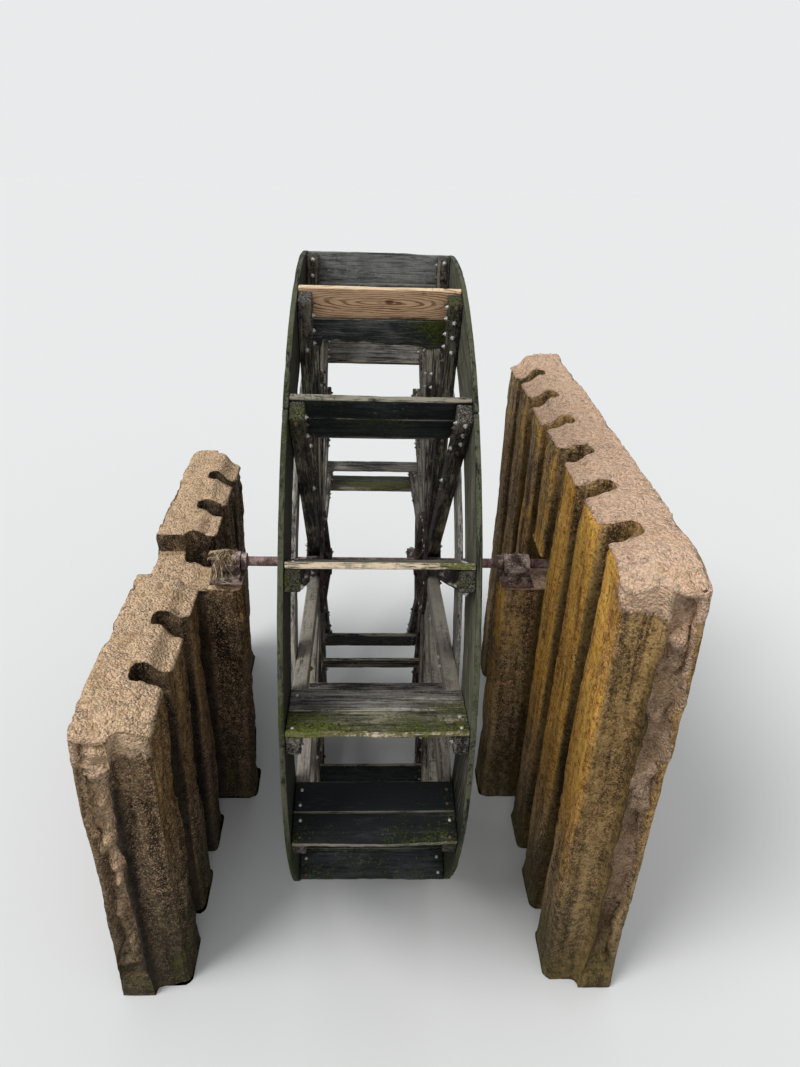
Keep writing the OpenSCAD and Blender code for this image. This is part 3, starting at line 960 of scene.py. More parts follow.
# %% Softened castings
def merged_copy(name, *nodes):
    """One mesh of copies of some nodes, with each node's loose triangles merged first."""
    work = bmesh.new()
    for node in nodes:
        part = bmesh.new()
        part.from_mesh(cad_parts[node].data)
        bmesh.ops.remove_doubles(part, verts=part.verts, dist=1e-5)
        bmesh.ops.dissolve_limit(part, angle_limit=0.01, verts=part.verts, edges=part.edges)
        piece = bpy.data.meshes.new("part")
        part.to_mesh(piece)
        part.free()
        work.from_mesh(piece)
        bpy.data.meshes.remove(piece)
    mesh = bpy.data.meshes.new(name)
    work.to_mesh(mesh)
    work.free()
    made = bpy.data.objects.new(name, mesh)
    scene.collection.objects.link(made)
    return made


def softened(node, body, finish, slot_name, width, segments=2):
    """A bevelled copy of an iron node that stands for it."""
    made = merged_copy(f"{node}_cast", node)
    bevel = made.modifiers.new("rounded edges", "BEVEL")
    bevel.width, bevel.segments, bevel.limit_method = width, segments, "ANGLE"
    bevel.angle_limit = math.radians(40)
    made.modifiers.new("flat faces stay flat", "WEIGHTED_NORMAL")
    count = len(made.data.polygons)
    made.data.polygons.foreach_set("material_index", np.zeros(count, np.int32))
    made.data.polygons.foreach_set("use_smooth", np.ones(count, bool))
    return dress(made, body, [finish], node)


for side_name in ("left", "right"):
    softened(f"{side_name}_hub", "wheel", HUB_RUST, "rusty_iron", 0.005)
    softened(f"{side_name}_clamp_ring", "wheel", HUB_RUST, "rusty_iron", 0.003)
    softened(f"{side_name}_bearing_base", "stand", CAST_RUST, "bearing_iron", 0.006)
    softened(f"{side_name}_bearing_cap", "stand", CAST_RUST, "bearing_iron", 0.006)
    softened(f"{side_name}_sole_plate", "stand", PLATE_RUST, "plate_steel", 0.003)
    softened(f"{side_name}_bearing_bolts", "stand", BOLT_RUST, "rusty_iron", 0.0015, 1)
softened("axle", "wheel", AXLE_RUST, "rusty_iron", 0.003)
softened("set_collars", "wheel", CAST_RUST, "rusty_iron", 0.004)
print("castings made: 14")

# %% [markdown]
# ## Bolts
# Round-headed bolts go through boards and arms, with washers and square nuts on the far side. There are
# hundreds, so each has only a few dozen faces: a dome is a quarter circle turned round its axis, and a nut is a
# washer with four sides on top.


# %% Bolt shapes
def turned(radii, heights, around):
    """A profile of radii and heights turned round the third axis; its last ring closes on the axis."""
    angle = np.arange(around) * 2 * math.pi / around
    points = np.stack([
        np.outer(radii, np.cos(angle)), np.outer(radii, np.sin(angle)), np.outer(heights, np.ones(around)),
    ], -1).reshape(-1, 3)
    return points, tube_faces(len(radii), around)


DOME = turned([0.0135, 0.0135, 0.0102, 0.0056, 0.0001], [-0.002, 0.0018, 0.0062, 0.0082, 0.0087], 8)
WASHER = turned([0.0175, 0.0175, 0.0001], [-0.002, 0.0032, 0.0032], 8)
NUT = turned([0.0165, 0.0165, 0.014, 0.0001], [0.0, 0.012, 0.0135, 0.0135], 4)
END = turned([0.0068, 0.0068, 0.0001], [0.010, 0.022, 0.022], 6)
HEAD, TAIL = (DOME,), (WASHER, NUT, END)


def frame_of(way):
    """Three axes with the third along way."""
    way = np.array(way, float) / np.linalg.norm(way)
    side = np.cross(way, (0.31, 0.87, 0.38))
    side /= np.linalg.norm(side)
    return np.stack([side, np.cross(way, side), way])


def fix(batch, shapes, place, way, spin):
    """Puts a shape's copies at a place, pointing along way, turned by spin."""
    axes = frame_of(way)
    turn = np.array([[math.cos(spin), math.sin(spin), 0], [-math.sin(spin), math.cos(spin), 0], [0, 0, 1]])
    tone = 0.5 + 0.5 * math.sin(spin * 7.3)
    for points, faces in shapes:
        spots = points @ turn @ axes + place
        batch.add(spots, faces, lanes(np.full(len(spots), tone), 0.0, 0.0, tone))


def spot(angle, x, radius, against):
    """One point on the wheel."""
    return on_wheel(angle, np.array([x]), np.array([radius]), np.array([against]))[0]


print("faces of a bolt's head and tail:", len(DOME[1]), sum(len(faces) for points, faces in TAIL))

# %% [markdown]
# The bolts through a paddle board show their heads on the board and their nuts on the far face of the arm.
# The bolts through a rim or ring show their heads outside and their nuts on the inner face of the arm. Those
# of the hub have their nuts outside.

# %% All bolts of the wheel
BOARD_BOLTS = (2.328, 2.448, 2.566, 2.684)
SIDE_BOLTS = (2.235, 2.345, 2.455, 2.565, 2.665, RING_R - 0.17, RING_R - 0.06)
HUB_BOLTS = (0.30, 0.43)
TIE_BOLTS = (TIE_R - 0.035, TIE_R + 0.035)
CLAMP_T, FLANGE_T, SINK = 0.014, 0.028, 0.001
ARM_X = HALF_PADDLE - ARM_W / 2
ARM_BACK = -ARM_D / 2 + 0.002
rng = np.random.default_rng(11)


def bolt(batch, number, radius, way, *ends):
    """A bolt's two ends, each (shapes, x, against): the first points along way, the second the other way."""
    for (shapes, x, against), out in zip(ends, (way, -way)):
        fix(batch, shapes, spot(angle_of(number), x, radius, against), out, rng.uniform(0, 6))


for side, side_name in SIDES:
    boards, sides = Batch(), Batch()
    out = np.array([side, 0, 0])
    x = side * ARM_X
    for number in range(1, PADDLES + 1):
        way = np.array([0, math.sin(angle_of(number)), math.cos(angle_of(number))])
        for radius in BOARD_BOLTS:
            here = x + rng.uniform(-0.006, 0.006)
            radius += rng.uniform(-0.006, 0.006)
            head = (HEAD, here, ARM_D / 2 + BOARD_T - 0.003)
            bolt(boards, number, radius, way, head, (TAIL, here, ARM_BACK))
        for radius in SIDE_BOLTS:
            against = rng.uniform(-0.045, 0.005)
            radius += rng.uniform(-0.008, 0.008)
            head = (HEAD, side * (HALF_PADDLE + RIM_T - 0.003), against)
            bolt(sides, number, radius, out, head, (TAIL, side * (HALF_PADDLE - ARM_W + 0.002), against))
        for radius in HUB_BOLTS:
            tail = (TAIL, side * (HALF_PADDLE + CLAMP_T - SINK), 0)
            head = (HEAD, side * (HALF_PADDLE - ARM_W - (FLANGE_T - SINK)), 0)
            bolt(sides, number, radius, out, tail, head)
        if number in TIE_TONES:
            for radius in TIE_BOLTS:
                head = (HEAD, x, ARM_D / 2 + TIE_T - 0.002)
                bolt(boards, number, radius, way, head, (TAIL, x, ARM_BACK))
    for batch, part in ((boards, "board_bolts"), (sides, "side_bolts")):
        made = dress(batch.piece(f"{side_name}_{part}"), "wheel", [MIXED_BOLTS])
    print(side_name, "bolt faces:", len(made.data.polygons))

# %% [markdown]
# ## Concrete walls
# The pit walls were cast in rough forms with river gravel. Frost and water have taken the skin off the tops
# and corners, and the gravel shows. Broken concrete has no tidy formula, so these pieces are made another
# way: the wall's nodes are merged into one skin of even small faces, its corners are rounded by
# averaging neighbours, and noise then eats into it. The skin is cut again where the nodes meet, so each
# node keeps its own piece and the cuts match.


# %% Skin of even faces
def even_skin(name, nodes, size):
    """Points, quads and outward ways of the merged nodes, remade as even faces of a given size."""
    made = merged_copy(name, *nodes)
    remesh = made.modifiers.new("even faces", "REMESH")
    remesh.mode, remesh.voxel_size, remesh.adaptivity = "VOXEL", size, 0
    view = made.evaluated_get(bpy.context.evaluated_depsgraph_get()).to_mesh()
    points, ways = read(view.vertices, "co", 3), read(view.vertices, "normal", 3)
    edges, quads = read(view.edges, "vertices", 2, np.int32), read(view.polygons, "vertices", 4, np.int32)
    bpy.data.objects.remove(made)
    return points, ways, edges, quads


def averaged(values, edges, rounds, share=0.5):
    """Each point's value moved towards the mean of its neighbours, round after round."""
    count = np.bincount(edges.ravel(), minlength=len(values))[:, None]
    for _ in range(rounds):
        total = np.zeros_like(values)
        for axis in range(values.shape[1]):
            total[:, axis] = np.bincount(edges[:, 0], values[edges[:, 1], axis], len(values))
            total[:, axis] += np.bincount(edges[:, 1], values[edges[:, 0], axis], len(values))
        values = values * (1 - share) + share * total / count
    return values


SKIN_STEP = 0.026
RIB_PITCH = 0.68
GROOVE_MOUTH, RIB_FACE, SHOULDER, GROOVE_FLOOR, OUTER_FACE = 1.50, 1.60, 1.72, 1.79, 2.02
END_RIBS, BROKEN_FROM, BROKEN_END = 2.2, -2.28, -2.37
LOW_WALL = 3


def eaten_wall(name, nodes, seed, top, chip, rugged):
    """The wall's skin after a century: rounded corners, lost chips, pits, and a top that has gone to gravel.

    Neighbours are averaged to round the corners, and only the part that goes inwards is kept. Noise along
    the outward way then eats in, most at corners, on the top and on the end that faces upstream, which is
    broken off. Each rib's head sinks by its own small amount, and `rugged` is how deep the faces are scored. It
    also returns how much painted shade the finish lays in each hollow and groove.
    """
    points, ways, edges, quads = even_skin(name, nodes, SKIN_STEP)
    out, along, high = np.abs(points[:, 0]), points[:, 1], points[:, 2]

    def spread(values, rounds):
        """One value for each point, averaged with its neighbours."""
        return averaged(values[:, None], edges, rounds)[:, 0]

    def lost_to(softened):
        """How far each point has moved inwards."""
        return np.einsum("ij,ij->i", points - softened, ways)

    # Round the corners, more on the heads of the ribs
    crisp = averaged(points, edges, 2)
    rounded = averaged(crisp, edges, 4)
    sharp, convex = lost_to(crisp), lost_to(rounded)
    softer = lost_to(averaged(rounded, edges, 14))
    edge = spread(smooth(convex, 0.002, 0.016), 2)
    # The concave corners, where the finish paints shade
    hollow = spread(smooth(-convex, 0.002, 0.012), 2)
    head = smooth(high, top - 0.4, top - 0.05)
    front = smooth(out, SHOULDER, RIB_FACE)
    off = np.maximum(sharp, 0) * (1 - head * front) + np.maximum(softer, 0) * head * front
    rounded = points - ways * off[:, None]
    place = rounded * (1, 1, 0.7)

    # Where each kind of wear sits
    bite = smooth(rough(place * 2.4, 3, seed), -0.05, 0.55)
    crumbs = smooth(rough(place * 9, 3, seed + 1), -0.2, 0.8)
    pits = smooth(rough(place * 15, 2, seed + 2), 0.1, 0.7)
    up = smooth(ways[:, 2], 0.3, 0.8)
    broken = smooth(-ways[:, 1], 0.3, 0.8) * smooth(along, BROKEN_FROM, BROKEN_END)
    broken = spread(broken, 4) * smooth(high, 0.05, 0.5)
    rib = np.round(along / RIB_PITCH)
    own = 0.5 + 0.5 * lattice(np.stack([rib, rib * 0 + 3, rib * 0 + seed], 1), seed)
    facing = smooth(np.abs(ways[:, 0]), 0.3, 0.8) * front
    sides = smooth(np.abs(ways[:, 2]), 0.7, 0.3)
    slow = 0.5 + 0.5 * rough(place * (0, 1.6, 1.2) + (rib * 5)[:, None], 3, seed + 9)

    # Painted shade for the finish: concave corners and the grooves' sides and floors are darkened, less towards
    # the lit top and at the open ends; and the outer part that keeps its corners
    groove_shade = smooth(out, GROOVE_MOUTH, 1.56) * smooth(np.abs(ways[:, 1]), 0.3, 0.8)
    lit = smooth(high, top - 0.9, top - 0.2)
    at_ends = (np.abs(along) > END_RIBS) * (0.45 + 0.35 * (top < LOW_WALL))
    hollow = np.maximum(hollow * (1 - 0.8 * lit), groove_shade * (0.92 - 0.6 * lit) * (1 - at_ends))
    groove_floor_shade = (np.abs(out - GROOVE_FLOOR) < 0.02) * smooth(np.abs(ways[:, 0]), 0.5, 0.9)
    hollow = spread(np.maximum(hollow, groove_floor_shade * (0.95 - 0.8 * lit)), 1)
    inside = smooth(out, 1.66, 1.76) * smooth(out, OUTER_FACE, 1.96)

    # How deep the wear goes at each point
    depth = 0.006 * (1 + rough(place * 1.3, 2, seed + 3))
    depth = depth + chip * edge * bite * (0.3 + 0.7 * head) * (1 - 0.8 * inside)
    depth += facing * (0.02 * own + 0.03 * slow)
    runnels = smooth(rough(place * (5.5, 5.5, 1.0), 3, seed + 11, 0.7), -0.15, 0.35)
    ledges = smooth(rough(place * (1.5, 1.5, 4.5), 3, seed + 12, 0.7), -0.05, 0.25)
    depth += rugged * sides * np.maximum(front, 0.4) * (0.65 * runnels + 0.35 * ledges)
    depth += 0.026 * crumbs * np.clip(edge + 0.8 * up + broken, 0, 1) + 0.014 * pits * (0.35 + up)
    depth += 0.05 * up * smooth(rough(place * 1.1, 2, seed + 4), 0.0, 0.8)
    rock = 1 - np.abs(rough(place * 3.1, 4, seed + 5, 0.6)) * 2
    depth += broken * (0.13 * smooth(rock, 0.1, 0.95) + 0.05 * smooth(rough(place * 8, 3, seed + 6), -0.3, 0.6))
    depth *= 0.6 + 0.4 * smooth(high, 0.0, 0.12)

    # Move the points inwards and let the heads and the broken end sink; the foot stays on the floor
    worn = rounded - ways * depth[:, None]
    worn[:, 2] -= (0.015 + 0.10 * own) * front * head
    lost = smooth(along, -2.0, -2.38) * smooth(high, top - 0.5, top)
    worn[:, 2] -= 0.16 * lost * (0.6 + rough(place * 2.2, 3, seed + 7))
    worn[high < 0.03, 2] = 0.0
    worn[:, 2] = np.maximum(worn[:, 2], 0.0)

    # Where gravel shows
    bare = np.clip(0.9 * up + edge * (0.3 + 0.5 * bite) * (0.3 + head) + 0.25 * pits + lost, 0, 1)
    uneven = high + 0.7 * rough(place * 2, 3, seed + 8)
    shown = 0.35 + 0.3 * smooth(uneven, 0.2, 1.2) + 0.35 * smooth(uneven, top - 1.5, top - 0.6)
    # The wear for the finish: each rib's own number, painted shade in hollows and grooves, bare gravel, and
    # faces towards the wheel
    return worn, quads, np.stack([own, hollow, np.maximum(bare, broken * shown), facing * (1 - broken)], 1)


def cut_piece(name, worn, quads, wear, planes):
    """The part of the skin on the near side of each plane (place, way), closed along the cuts."""
    made = piece_from(name, worn, quads, {"wear": wear}, turn_out=False)
    work = bmesh.new()
    work.from_mesh(made.data)
    for place, way in planes:
        whole = work.verts[:] + work.edges[:] + work.faces[:]
        bmesh.ops.bisect_plane(work, geom=whole, plane_co=place, plane_no=way, clear_outer=True)
        rim = [e for e in work.edges if e.is_boundary]
        bmesh.ops.holes_fill(work, edges=rim, sides=0)
    work.to_mesh(made.data)
    work.free()
    return made


LEFT_WALL = ("left_wall_upstream", "left_wall_downstream", "left_bearing_pier")
RIGHT_WALL = ("right_wall_upstream", "right_wall_downstream", "right_bearing_pier", "right_wall_over_axle")
left_skin = eaten_wall("left_skin", LEFT_WALL, 5, AXLE_Z + 0.10, 0.14, 0.060)
right_skin = eaten_wall("right_skin", RIGHT_WALL, 9, AXLE_Z + 1.35, 0.10, 0.024)
print("faces of the walls' skins:", len(left_skin[1]), len(right_skin[1]))

# %% [markdown]
# The finish shows cast faces with stains that run down them, and bare gravel where the skin is gone. Gravel is
# a pattern of cells, each with its own colour, raised at its middle and darkened at its rim as painted shade.
# Algae colour the faces from ochre high up to green-black near the water; that dark foot is partly damp and
# algae and partly painted shade of the deep pit. The grooves and concave corners carry painted shade.


# %% Concrete finish
FORM_BOARDS = 5.1
BACK_FROM, BACK_TO = 2.0, 2.07


def concrete(name, sand, stone, stain, ochre, ochre_amount, groove_shade, foot_damp_and_shade_tint, dirt):
    """Concrete: gravel cells where it is bare, stained skin elsewhere, algae by height, a dark foot that is
    partly painted shade, and painted shade in the grooves.
    """
    paint = Paint(name, 0.9)
    # The green lane, hollow, is painted shade for the grooves and concave corners
    own, hollow, bare, facing = paint.lanes("Red", "Green", "Blue", "Alpha")
    across, along, height = (paint.place.axis(name) for name in "XYZ")
    outer = across.maths("ABSOLUTE").step(BACK_FROM, BACK_TO)
    gravel, gravel_colour = paint.cells(46)
    small, small_colour = paint.cells(120)
    big, big_colour = paint.cells(19)
    pick, small_pick, big_pick = (
        gravel_colour.channel("Red"), small_colour.channel("Green"), big_colour.channel("Red")
    )
    cloud = paint.noise(paint.place, 2.4, 5, 0.65)
    lump = paint.noise(paint.place, 15, 5, 0.75)
    grit = paint.noise(paint.place, 55, 5, 0.75)
    patch = paint.noise(paint.place, 7, 4, 0.7, 0.5)
    streak = paint.noise(paint.place, (11, 11, 0.9), 6, 0.68)
    long_streak = paint.noise(paint.place, (3.5, 3.5, 0.35), 5, 0.6, shift=(4, 1, 2))

    # Gravel: stones of several shades, darker at their rims and in the gaps as painted shade, large pebbles
    # among them, holes, grit and rust
    stones = paint.ramp(pick, [
        (0.03, tint(122, 102, 86)), (0.18, tint(200, 160, 126)), (0.42, darker(stone, 0.95)),
        (0.7, tint(246, 200, 158)), (0.86, tint(212, 190, 172)), (0.97, tint(255, 214, 186)),
    ])
    pebbles = paint.ramp(big_pick, [
        (0.7, tint(150, 136, 118)), (0.8, tint(232, 206, 172)), (0.92, tint(196, 176, 150)),
    ])
    pebble = big_pick.step(0.66, 0.7) * big.step(0.46, 0.38)
    hole = lump.step(0.56, 0.70) + ((0.43 - grit) * 7).held()
    rusty = (patch + 0.6 * (cloud - 0.5)).step(0.48, 0.7)
    rubble = paint.coats(
        stones,
        # painted shade at each stone's rim and in the gaps between stones
        (darker(stone, 0.4), gravel.step(0.48, 0.78) * 0.42),
        (darker(stone, 1.1), (cloud + 0.3 * small_pick).step(0.40, 0.70) * 0.75),
        (pebbles, pebble * 0.55),
        (darker(stone, 0.5), hole * (0.16 + 0.3 * dirt)),
        (darker(stone, 0.66), small_pick.step(0.8, 0.92) * 0.28),
        (darker(ochre, 0.85), rusty * (0.22 + 0.45 * dirt)),
        (darker(stain, 0.9), (patch + 1.2 * (grit - 0.5)).step(0.40, 0.28) * dirt),
        (tint(255, 218, 198), 0.18 - 0.1 * dirt),
    )

    # Cast skin: marks of the form's boards on the outer face, ochre high up, dark runs, pocks and specks
    board = height * FORM_BOARDS + 0.05 * cloud
    cut = board.maths("FRACT")
    cut = (cut.step(0.05, 0.0) + cut.step(0.95, 1.0)) * outer
    board_tone = paint.node(
        "ShaderNodeTexWhiteNoise", {"noise_dimensions": "1D"}, {"W": board.maths("FLOOR")}, "Value"
    )
    body = 0.5 + (2.5 - 1.0 * outer) * (streak - 0.5) + 2.4 * (long_streak - 0.5)
    body = body + 2.0 * (grit - 0.5) + 2.3 * (lump - 0.5)
    body = body + 0.5 * (small_pick - 0.5) + 0.25 * outer * (board_tone - 0.5)
    yellow = (long_streak + 0.9 * cloud + 0.4 * lump + 0.12 * own - 0.17 * along).step(0.98, 1.32)
    yellow = yellow * (height + 1.2 * (cloud - 0.5)).step(0.8, 2.3) * ochre_amount * (0.25 + 0.75 * facing)
    uneven = 0.5 + 1.9 * (grit - 0.5) + 2.2 * (lump - 0.5) + 1.5 * (streak - 0.5)
    ochre_shade = paint.ramp(uneven.held(), [
        (0.0, darker(ochre, 0.56)), (0.5, darker(ochre, 0.98)), (1.0, darker(ochre, 1.24)),
    ])
    pale = 2.6 * (streak - 0.5) + 0.9 * (grit - 0.5) + 0.8 * (cloud - 0.5)
    dark = (pale - 0.10 * height + 0.14 * outer + 0.42).step(0.18, -0.26)
    pocks = paint.noise(paint.place, 34, 4, 0.7).step(0.43, 0.35)
    specks = (small_pick - 0.72) * 8 * (lump - 0.36) * 3
    cast = paint.coats(
        paint.mix(tint(*stain), tint(*sand), body.held()),
        (ochre_shade, yellow * 0.92),
        (darker(stain, 0.5), dark * (0.72 - 0.34 * yellow)),
        (darker(stain, 0.4), (pocks + 0.35 * cut).held() * (0.5 - 0.2 * outer)),
        (darker(stone, 0.95), specks.held() * (0.75 - 0.4 * outer)),
    )

    # Gravel where the skin is gone, then the dark foot, damp and partly painted shade of the deep pit, algae,
    # and painted shade in the grooves and hollows
    shown = (bare * 1.3 + 1.5 * (grit - 0.5) - 0.1 * (1 - cloud)).step(0.3, 0.62)
    # Darker towards the foot: partly damp and algae, partly painted shade of the deep pit
    foot_damp_and_shade = (height + 1.6 * (long_streak - 0.5)).step(1.3, 0.15)
    algae = 1.8 * (paint.noise(paint.place, 5, 5, 0.7) - 0.5)
    colour = paint.coats(
        cast,
        (rubble, shown),
        (tint(*foot_damp_and_shade_tint), foot_damp_and_shade * (0.45 + 0.5 * grit)),
        (tint(84, 88, 36), (algae + 1.4 * (grit - 0.5) + 0.3 * foot_damp_and_shade).step(0.26, 0.6) * 0.5),
        # Painted shade in the grooves and concave corners
        (
            paint.mix(darker(groove_shade, 0.55), darker(groove_shade, 1.2), body.held()),
            (hollow * (1.15 + 0.8 * (lump - 0.5))).held() * 0.9,
        ),
    )
    raised = 0.9 * (1 - 1.4 * gravel) + 0.4 * (1 - small) + 0.9 * pebble
    relief = shown * raised + 0.5 * grit + 0.9 * lump - 0.6 * pocks - 0.5 * cut
    normal = paint.bump(relief, 1.0, 0.022)
    return paint.wear(colour=colour, roughness=(0.82 + 0.15 * grit).held(), normal=normal)


LEFT_CONCRETE = concrete(
    "left_wall_concrete", sand=(134, 113, 90), stone=(244, 200, 158), stain=(44, 37, 30),
    ochre=(178, 138, 76), ochre_amount=0.5, groove_shade=(50, 43, 35), foot_damp_and_shade_tint=(42, 40, 30), dirt=0.75,
)
RIGHT_CONCRETE = concrete(
    "right_wall_concrete", sand=(194, 166, 120), stone=(254, 198, 166), stain=(74, 64, 45),
    ochre=(244, 174, 70), ochre_amount=1.0, groove_shade=(104, 84, 48), foot_damp_and_shade_tint=(64, 58, 40), dirt=0.15,
)
WALLS = {"left": (left_skin, LEFT_CONCRETE), "right": (right_skin, RIGHT_CONCRETE)}
BAY, WINDOW = 0.34, 2.88
UPSTREAM, DOWNSTREAM = [((0, -BAY, 0), (0, 1, 0))], [((0, BAY, 0), (0, -1, 0))]
IN_BAY = [((0, BAY, 0), (0, 1, 0)), ((0, -BAY, 0), (0, -1, 0))]
CUTS = {
    "left_wall_upstream": UPSTREAM,
    "left_wall_downstream": DOWNSTREAM,
    "left_bearing_pier": IN_BAY,
    "right_wall_upstream": UPSTREAM,
    "right_wall_downstream": DOWNSTREAM,
    "right_bearing_pier": [*IN_BAY, ((0, 0, WINDOW), (0, 0, 1))],
    "right_wall_over_axle": [*IN_BAY, ((0, 0, WINDOW), (0, 0, -1))],
}
for node, planes in CUTS.items():
    side_name = node.split("_")[0]
    skin, finish = WALLS[side_name]
    made = cut_piece(f"{node}_eaten", *skin, planes)
    dress(made, "stand", [finish], node)
    print(node, "faces:", len(made.data.polygons))

# %% [markdown]
# ## Moss tufts
# Where water stands on a board, moss grows in small cushions. A cushion is a handful of short pointed leaves
# that lean out of one patch; each leaf is two four-sided faces. The table says where along which board the
# cushions grow, how many and how long. A beard of the same leaves hangs on the mended paddle.


# %% Moss
def moss_finish():
    """Moss: olive to yellow green, picked leaf by leaf, darker at the root."""
    paint = Paint("moss", 0.85)
    own, tip = paint.lanes("Red", "Green")
    speck = paint.noise(paint.place, 160, 3, 0.6)
    leaf = paint.ramp((own + 0.8 * (speck - 0.5)).held(), [
        (0.0, tint(34, 42, 16)), (0.45, tint(72, 84, 28)), (0.8, tint(118, 126, 44)), (1.0, tint(156, 152, 72)),
    ])
    colour = paint.mix(tint(24, 28, 14), leaf, (0.25 + 0.9 * tip).held())
    return paint.wear(colour=colour, roughness=(0.8 + 0.1 * speck).held())


LEAF_W = 0.0016


def cushion(batch, centre, way, spread, leaves, length, rng):
    """Leaves round a centre: they start in a round patch and lean outwards from it and along way."""
    axes = frame_of(way)
    at = rng.normal(0, 0.5, (leaves, 2))
    lean = axes[2] + 0.7 * at @ axes[:2] + rng.normal(0, 0.3, (leaves, 3))
    lean /= np.linalg.norm(lean, axis=1)[:, None]
    root = centre + spread * at @ axes[:2] - 0.002 * axes[2]
    reach = (length * rng.uniform(0.5, 1.1, leaves) * np.exp(-(at**2).sum(1)))[:, None]
    side = np.cross(lean, rng.normal(0, 1, (leaves, 3)))
    side *= (LEAF_W / np.linalg.norm(side, axis=1))[:, None]
    rows = [root - side, root + side]
    for part, wide in ((0.55, 0.8), (1.0, 0.1)):
        rows += [root + part * reach * lean + wide * side, root + part * reach * lean - wide * side]
    points = np.stack(rows, 1).reshape(-1, 3)
    start = np.arange(leaves)[:, None] * 6
    faces = np.concatenate([start + (0, 1, 2, 3), start + (3, 2, 4, 5)])
    tip = np.tile([0, 0, 0.55, 0.55, 1, 1], leaves)
    batch.add(points, faces, lanes(np.repeat(rng.uniform(0, 1, leaves), 6), tip, 0.0, 0.5))


MOSS = moss_finish()
CUSHIONS = [
    (2, 1, -0.53, -0.16, 46, 0.016), (2, 1, 0.34, 0.56, 22, 0.015), (2, 1, -0.16, 0.34, 16, 0.010),
    (1, 1, 0.36, 0.56, 14, 0.009), (3, 1, 0.05, 0.56, 30, 0.013), (3, 1, -0.54, -0.2, 14, 0.012),
    (10, 0, -0.1, 0.5, 40, 0.018), (10, 1, -0.4, 0.4, 20, 0.011), (16, 0, -0.2, 0.25, 12, 0.008),
    (4, 1, -0.5, 0.5, 26, 0.010),
]
rng = np.random.default_rng(23)
moss = Batch()
face = ARM_D / 2 + BOARD_T - 0.0025
for number, row, left, right, count, length in CUSHIONS:
    angle = angle_of(number)
    way = (0, math.sin(angle), math.cos(angle))
    for _ in range(count):
        across_board = np.clip(rng.normal(0.055, 0.05), -0.1, BOARD_W / 2 - 0.022)
        place = spot(angle, rng.uniform(left, right), board_middle(row) + across_board, face)
        cushion(moss, place, way, rng.uniform(0.005, 0.013), 22, length, rng)
BEARD_X, BEARD_TOP, BEARD_LONG = 0.37, PADDLE_FOOT + 0.045, 0.06
for _ in range(34):
    drop = rng.uniform(0, 1)
    x = BEARD_X + rng.normal(0, 0.045) * (1 - 0.5 * drop)
    place = spot(angle_of(MENDED), x, BEARD_TOP - BEARD_LONG * drop, ARM_D / 2 + rng.uniform(0.004, 0.04))
    cushion(moss, place, (0.0, rng.normal(0, 0.5) - 0.6, -1.0), 0.012, 26, 0.026, rng)
made = dress(moss.piece("moss_cushions", turn_out=False), "wheel", [MOSS])
print("moss faces:", len(made.data.polygons))

# %% [markdown]
# ## Straw on the left bearing
# High water has left straw and twigs on the left bearing. Each stalk is a thin bent tube. Its height at each
# point is that of whatever lies under it, found by a ray cast down on to the iron, and then it is pulled taut
# over the high spots, as a stiff stalk would lie. It bridges the turning end of the axle and stays clear of it.

# %% Straw
below = []
for node in ("left_bearing_cap", "left_bearing_base", "left_bearing_bolts", "left_sole_plate"):
    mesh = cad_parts[node].data
    below.append(BVHTree.FromPolygons([v.co for v in mesh.vertices], [p.vertices[:] for p in mesh.polygons]))
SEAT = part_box("left_sole_plate")[0][2]
AXLE_END, AXLE_ROOM, AXLE_CLEAR = -1.445, 0.072, 0.060
STRAW_X, STRAW_Y = (-1.52, -1.262), (-0.215, 0.175)


def height_under(x, y):
    """The highest iron under a point, or the concrete seat, or the room kept over the axle's end."""
    top = AXLE_Z + AXLE_CLEAR if x < AXLE_END and abs(y) < AXLE_ROOM else SEAT
    for tree in below:
        hit = tree.ray_cast((x, y, AXLE_Z + 1), (0, 0, -1))[0]
        if hit is not None:
            top = max(top, hit.z)
    return top


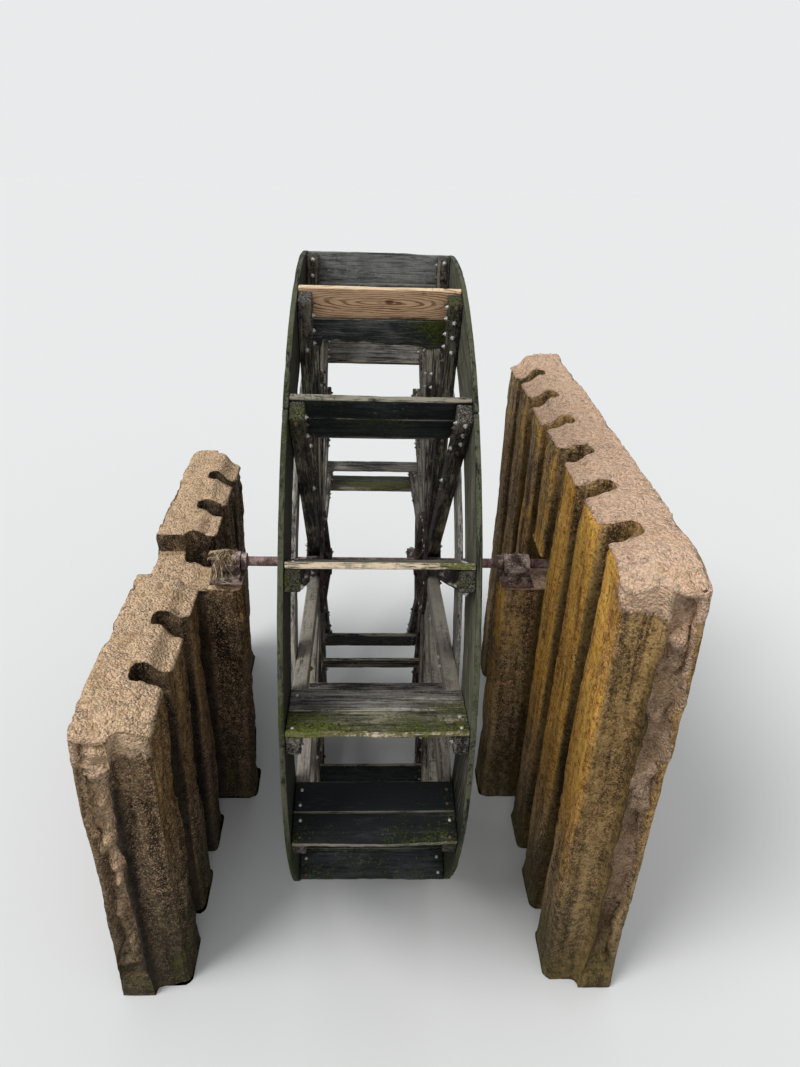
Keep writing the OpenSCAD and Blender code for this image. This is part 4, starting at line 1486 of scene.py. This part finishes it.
def straw_finish():
    """Dry straw and dark twigs, each stalk its own shade, with fine length-wise streaks."""
    paint = Paint("straw", 0.8)
    own = paint.lanes("Red")[0]
    streak = paint.noise(paint.place, 240, 3, 0.6)
    colour = paint.ramp((own + 0.5 * (streak - 0.5)).held(), [
        (0.0, tint(54, 42, 34)), (0.4, tint(112, 90, 68)),
        (0.7, tint(178, 154, 118)), (1.0, tint(222, 204, 170)),
    ])
    return paint.wear(colour=colour, roughness=(0.72 + 0.2 * streak).held())


def stalk(batch, points, thickness, tone):
    """A tube of five sides round a line of points, thinner to its ends."""
    way = np.gradient(points, axis=0)
    way /= np.linalg.norm(way, axis=1)[:, None]
    side = np.cross(way, (0.2, 0.3, 0.93))
    side /= np.linalg.norm(side, axis=1)[:, None]
    other = np.cross(way, side)
    turn = np.arange(5) * 2 * math.pi / 5
    radius = thickness * np.array([0.1] + [1.0] * (len(points) - 2) + [0.1])
    ring = side[:, None] * np.cos(turn)[:, None] + other[:, None] * np.sin(turn)[:, None]
    skin = points[:, None] + radius[:, None, None] * ring
    wear = lanes(np.full(len(points) * 5, tone), 0.0, 0.0, tone)
    batch.add(skin.reshape(-1, 3), tube_faces(len(points), 5), wear)


straw = Batch()
for index in range(110):
    thickness = rng.uniform(0.0012, 0.0032)
    heading = rng.normal(0.9, 1.0)
    reach = rng.uniform(0.05, 0.2)
    middle = (rng.normal(-1.385, 0.035), rng.normal(-0.045, 0.075))
    part = np.linspace(-1, 1, 11)
    bend = rng.uniform(-0.25, 0.25)
    x = middle[0] + reach * (part * math.cos(heading) - bend * part**2 * math.sin(heading))
    y = middle[1] + reach * (part * math.sin(heading) + bend * part**2 * math.cos(heading))
    x, y = np.clip(x, *STRAW_X), np.clip(y, *STRAW_Y)
    pile = 0.022 * rng.uniform(0, 1) * np.exp(-((x + 1.39) / 0.07) ** 2 - ((y + 0.04) / 0.1) ** 2)
    under = np.array([height_under(*xy) for xy in zip(x, y)]) + thickness + pile
    z = under.copy()
    for _ in range(40):
        z[1:-1] = np.maximum(under[1:-1], (z[:-2] + z[2:]) / 2)
        z[0] = max(under[0], 2 * z[1] - z[2] - 0.003)
        z[-1] = max(under[-1], 2 * z[-2] - z[-3] - 0.003)
    stalk(straw, np.stack([x, y, z], 1), thickness, rng.uniform(0, 1))
made = dress(straw.piece("straw_on_left_bearing"), "stand", [straw_finish()])
print("straw faces:", len(made.data.polygons))
